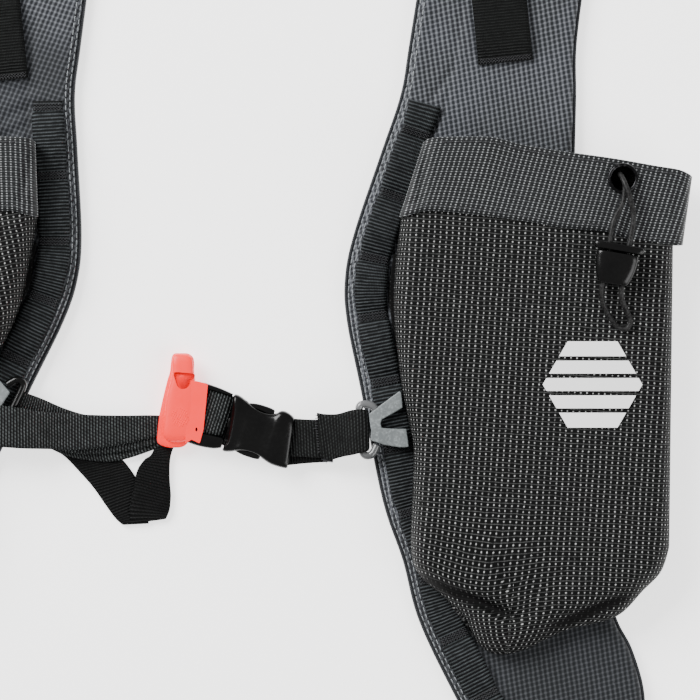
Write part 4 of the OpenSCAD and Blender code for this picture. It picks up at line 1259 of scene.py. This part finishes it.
def buckle():
    socket = loft("buckle_socket", [
        (0.4, -10.3, 10.4, -4.4, 4.4), (0.9, -10.8, 10.9, -4.9, 4.9), (2.2, -10.8, 10.9, -5, 5),
        (4.4, -10.0, 9.9, -4.9, 4.8), (7, -8.9, 8.6, -4.7, 4.4), (10, -8.3, 7.9, -4.6, 4.1),
        (13, -8.3, 8.0, -4.6, 4.1), (15.6, -8.9, 8.7, -4.7, 4.4), (17.4, -9.6, 10.1, -4.8, 4.7),
        (19.4, -10.1, 10.6, -4.8, 4.8), (22, -10.1, 10.3, -4.7, 4.5), (24, -9.8, 9.6, -4.4, 4.0),
        (24.6, -9.2, 9.0, -3.8, 3.4)], BLACK, socket_place, power=5.5, count=72)
    carve(socket, box_cutter(-4, 15.6, -9.9, 9.9, -3.1, 3.1))
    carve(socket, box_cutter(18.5, 32, -7.9, 7.9, -2.6, 2.3))
    finish_edges(socket, 0.35)
    stand_for(socket, ROOT, "black_acetal", "buckle_female")
    for name, stations in (
            ("buckle_rail_upper", [(-13.6, 9.3, 11.2, -2.4, 2.4), (-12.6, 9.3, 11.4, -2.7, 2.7),
                                   (-7, 9.6, 11.3, -2.7, 2.7), (-2.4, 9.7, 10.8, -2.5, 2.5),
                                   (-1.8, 9.8, 10.6, -2.2, 2.2)]),
            ("buckle_rail_lower", [(-13.6, -11.4, -7.4, -2.4, 2.4), (-12.6, -11.9, -7.0, -2.7, 2.8),
                                   (-8, -12.0, -6.6, -2.7, 2.9), (-3, -11.3, -6.2, -2.7, 2.8),
                                   (-0.6, -10.4, -6.0, -2.6, 2.6), (0.1, -10.0, -6.2, -2.4, 2.4)]),
            ("buckle_end_bar", [(-13.8, -9, 10.6, -0.9, 0.9), (-13.2, -9.4, 10.8, -1.2, 1.2),
                                (-11.4, -9.4, 10.8, -1.2, 1.2), (-10.8, -9, 10.6, -0.9, 0.9)]),
            ("buckle_collar", [(-1.4, -9, 10.2, -1.2, -0.2), (-1.2, -9, 10.2, -1.6, 0.0),
                               (-0.1, -9, 9.4, -1.6, 0.0), (0.1, -8.8, 9.2, -1.2, -0.2)]),
            ("buckle_base", [(-12.8, -8.6, 10.4, -3.0, -2.55), (-6, -8.8, 10.2, -3.0, -2.55),
                             (1.4, -9.0, 9.5, -3.0, -2.55)]),
            ("buckle_tongue", [(-0.4, -2.1, 2.1, -1.9, 1.9), (10, -2.1, 2.1, -1.9, 1.9),
                               (13.4, -1.3, 1.3, -1.6, 1.6)])):
        piece = loft(name, stations, BLACK, at_buckle, power=4.0)
        finish_edges(piece, 0.15)
        stand_for(piece, MALE, "black_acetal", "buckle_male")
    for label, side in (("upper", 1), ("lower", -1)):
        def arm(points, side=side):
            return at_buckle(np.atleast_2d(points) * (1, side, 1))
        piece = loft("prong_arm_" + label, [
            (0.4, 6.2, 7.8, -2.0, 2.0), (3.0, 6.8, 8.6, -2.3, 2.3), (6.0, 7.6, 9.6, -2.4, 2.4),
            (9.0, 7.8, 10.1, -2.4, 2.4), (13.0, 7.4, 10.1, -2.4, 2.4), (14.7, 7.4, 9.8, -2.3, 2.3),
            (15.1, 7.6, 9.5, -1.9, 1.9)], BLACK, arm, power=5.0)
        finish_edges(piece, 0.15)
        stand_for(piece, "prong_%s_arm" % label, "black_acetal", "prong_" + label)


def upright(points):
    """Sections stacked down the page: (along, across, height) to (x, y, height)."""
    p = np.atleast_2d(np.array(points, float))
    return np.column_stack([p[:, 1], p[:, 0], p[:, 2]])


def whistle():
    base = loft("whistle_base", [
        (-1.2, -15.4, -11.0, 4.4, 6.4), (-1.7, -16.2, -9.8, 4.0, 7.0), (-2.8, -16.7, -8.7, 3.7, 7.4),
        (-4.6, -17.0, -8.3, 3.5, 7.6), (-8.2, -17.4, -8.3, 3.4, 7.7), (-11.5, -18.4, -7.9, 3.4, 7.7),
        (-18.4, -20.1, -7.2, 3.4, 7.6), (-25, -21.5, -7.9, 3.4, 7.4), (-30, -22.0, -8.8, 3.4, 7.0),
        (-33.6, -22.3, -9.7, 3.4, 6.6), (-35.1, -21.8, -10.9, 3.5, 6.4), (-36.2, -19.8, -12.2, 3.8, 6.1),
        (-36.7, -17.6, -13.8, 4.3, 5.7)], RED, upright, power=4.5, count=64)
    body = loft("whistle_body", [
        (-1.5, -15.2, -11.2, 5.8, 7.6), (-2.0, -15.9, -10.0, 5.4, 8.4), (-3.0, -16.3, -9.1, 5.2, 8.9),
        (-5, -16.6, -8.6, 5, 9.2), (-8.2, -16.6, -8.5, 5, 9.3), (-12, -17.2, -8.1, 5, 9.4),
        (-18.4, -18.7, -7.4, 5, 9.4), (-25.5, -19.5, -8.3, 5, 9.4), (-31, -19.9, -9.3, 5, 9.2),
        (-33.0, -19.3, -10.4, 5.1, 8.7), (-34.1, -18.0, -11.6, 5.3, 8.0), (-34.6, -16.8, -12.9, 5.6, 7.2)],
        RED, upright, power=3.4, count=64)
    recess = smooth_loop([(-15.7, -8.5), (-12, -8.5), (-8.0, -9.2), (-9.3, -12.1), (-10.8, -14.2),
                          (-12.8, -14.6), (-14.2, -13.8), (-15.2, -11.4)], 4)
    floor = np.interp(recess[:, 1], [-14.6, -8.5], [9.2, 6.0])
    carve(body, prism("cutter", recess, floor, 12.0, RED))
    # Painted shade: the recess floor in a deeper red.
    shade = prism("whistle_recess", recess, floor - 0.4, np.maximum(floor, 7.74) + 0.06, SHADED_RED)
    finish_edges(body, 0.2, angle=40)
    flange = prism("whistle_flange", [(-9.5, -11.4), (-7.0, -11.7), (-3.4, -12.6), (-3.0, -13.2),
                                      (-4.6, -29.6), (-5.9, -34.6), (-6.4, -34.9), (-9.1, -33.6),
                                      (-11.5, -35.0)],
                   7.95, 9.2, RED)
    hole = [(-7.3 + 0.42 * math.cos(a), -29.8 + 0.75 * math.sin(a)) for a in np.linspace(0, 5.8, 13)]
    carve(flange, prism("cutter", hole, 6, 11, RED))
    finish_edges(flange, 0.35)
    grip, faces = [], []
    step = 0.78
    for i in range(-6, 7):
        for j in range(-6, 7):
            dx, dy = step * (i * 0.87 + j * 0.5), step * (j * 0.87 - i * 0.5)
            if (dx / 3.3) ** 2 + (dy / 3.6) ** 2 > 1:
                continue
            at = np.array([-13.5 + dx, -25.2 + dy, 9.28])
            k = len(grip)
            for r, h in ((0.27, 0.0), (0.2, 0.2)):
                grip += [at + (r * math.cos(a), r * math.sin(a), h) for a in np.arange(6) * math.pi / 3]
            faces += hoop(k, 6) + end_caps(k, k + 6, 6)
    dots = new_object("whistle_grip", grip, faces, grip, RED)
    for piece in (base, body, flange, dots, shade):
        stand_for(piece, MALE, "whistle_red", "whistle")


# ---- Cord locks ----

def cord_lock(label, side):
    def place(points):
        return from_lock(points, side)
    low, high = LOCK_Z + 0.1, LOCK_Z + 6.9
    housing = loft("lock_housing_" + label, [
        (4.5, -7.2, 7.2, low + 0.6, high - 0.6), (4.0, -7.8, 7.8, low, high), (1.5, -7.8, 7.8, low, high),
        (-2.0, -7.3, 7.3, low, high), (-5.0, -6.4, 6.4, low, high - 0.3),
        (-6.9, -5.6, 5.6, low + 0.2, high - 0.9), (-7.4, -5.0, 5.0, low + 0.7, high - 1.6)],
        BLACK, place, power=4.0, count=56)
    carve(housing, prism("cutter", rectangle(-9, 7, -4.9, 4.9), CORD_Z - 1.4, CORD_Z + 1.4,
                         BLACK, place))
    finish_edges(housing, 0.3)
    stand_for(housing, "cord_lock_" + label, "black_acetal", "lock_housing_" + label)
    head = loft("lock_head_" + label, [
        (5.0, -8.0, 8.0, LOCK_Z + 0.9, LOCK_Z + 6.0), (5.4, -9.0, 9.0, LOCK_Z + 0.4, LOCK_Z + 6.6),
        (6.6, -9.4, 9.4, LOCK_Z + 0.3, LOCK_Z + 6.7), (7.5, -9.2, 9.2, LOCK_Z + 0.5, LOCK_Z + 6.5),
        (7.8, -8.8, 8.8, LOCK_Z + 1.0, LOCK_Z + 6.0)], BLACK, place, power=6.0, count=56)
    for k in (-CORD_GAP, CORD_GAP):
        carve(head, prism("cutter", rectangle(3, 10, k - 1.4, k + 1.4),
                          CORD_Z - 1.4, CORD_Z + 1.4, BLACK, place))
    finish_edges(head, 0.3)
    stem = loft("lock_stem_" + label, [
        (-4.8, -2.0, 2.0, CORD_Z - 0.9, CORD_Z + 0.9), (5.4, -2.0, 2.0, CORD_Z - 0.9, CORD_Z + 0.9)],
        BLACK, place, power=5.0)
    for piece in (head, stem):
        stand_for(piece, "cord_lock_slider_" + label, "black_acetal", "lock_slider_" + label)


# ---- Rigid pieces carried over from the frame, with softened edges ----

def softened(node, name, material, body, slot, radius):
    """A copy of a CAD node with its edges rounded. The copy stands for the node."""
    obj = add_object(name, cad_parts[node].data.copy())
    bm = bmesh.new()
    bm.from_mesh(obj.data)
    bmesh.ops.remove_doubles(bm, verts=bm.verts, dist=1e-6)
    bmesh.ops.dissolve_limit(bm, angle_limit=math.radians(1.0), verts=bm.verts, edges=bm.edges)
    bmesh.ops.recalc_face_normals(bm, faces=bm.faces)
    bm.to_mesh(obj.data)
    bm.free()
    obj.data.materials.clear()
    obj.data.materials.append(material)
    bevel(obj, radius, 28)
    places = np.empty(3 * len(obj.data.vertices), np.float32)
    obj.data.vertices.foreach_get("co", places)
    obj.data.attributes.new("weave", "FLOAT_VECTOR", "POINT").data.foreach_set("vector", places / MM)
    modifier(obj, "WEIGHTED_NORMAL", keep_sharp=True)
    stand_for(obj, body, slot, node)

def hardware():
    for label in SIDES:
        softened("ladder_lock_" + label, "ladder_lock_frame_" + label, BLACK, "ladder_lock_" + label,
                 "black_acetal", 0.4)
        softened("lower_web_" + label, "lower_tab_" + label, TAPE, ROOT, "ribbed_tape", 0.3)
        softened("pocket_back_" + label, "pocket_panel_" + label, MESH, ROOT, "grid_cloth", 0.4)
    softened("reflective_patch", "patch_bars", PRINT, ROOT, "reflective_print", 0.1)


set_stage()
for side_label, side_sign in SIDES.items():
    drawcord(side_label, side_sign)
padded_straps()
yoke()
for side_label, side_sign in SIDES.items():
    daisy_chain(side_label, side_sign)
    edge_stitching(side_label, side_sign)
    keeper(side_label, side_sign)
    pocket(side_label, side_sign)
    hem(side_label, side_sign)
    eyelet(side_label, side_sign)
    clip(side_label, side_sign)
    cord_lock(side_label, side_sign)
haul_loop()
sternum_webs()
buckle()
whistle()
hardware()
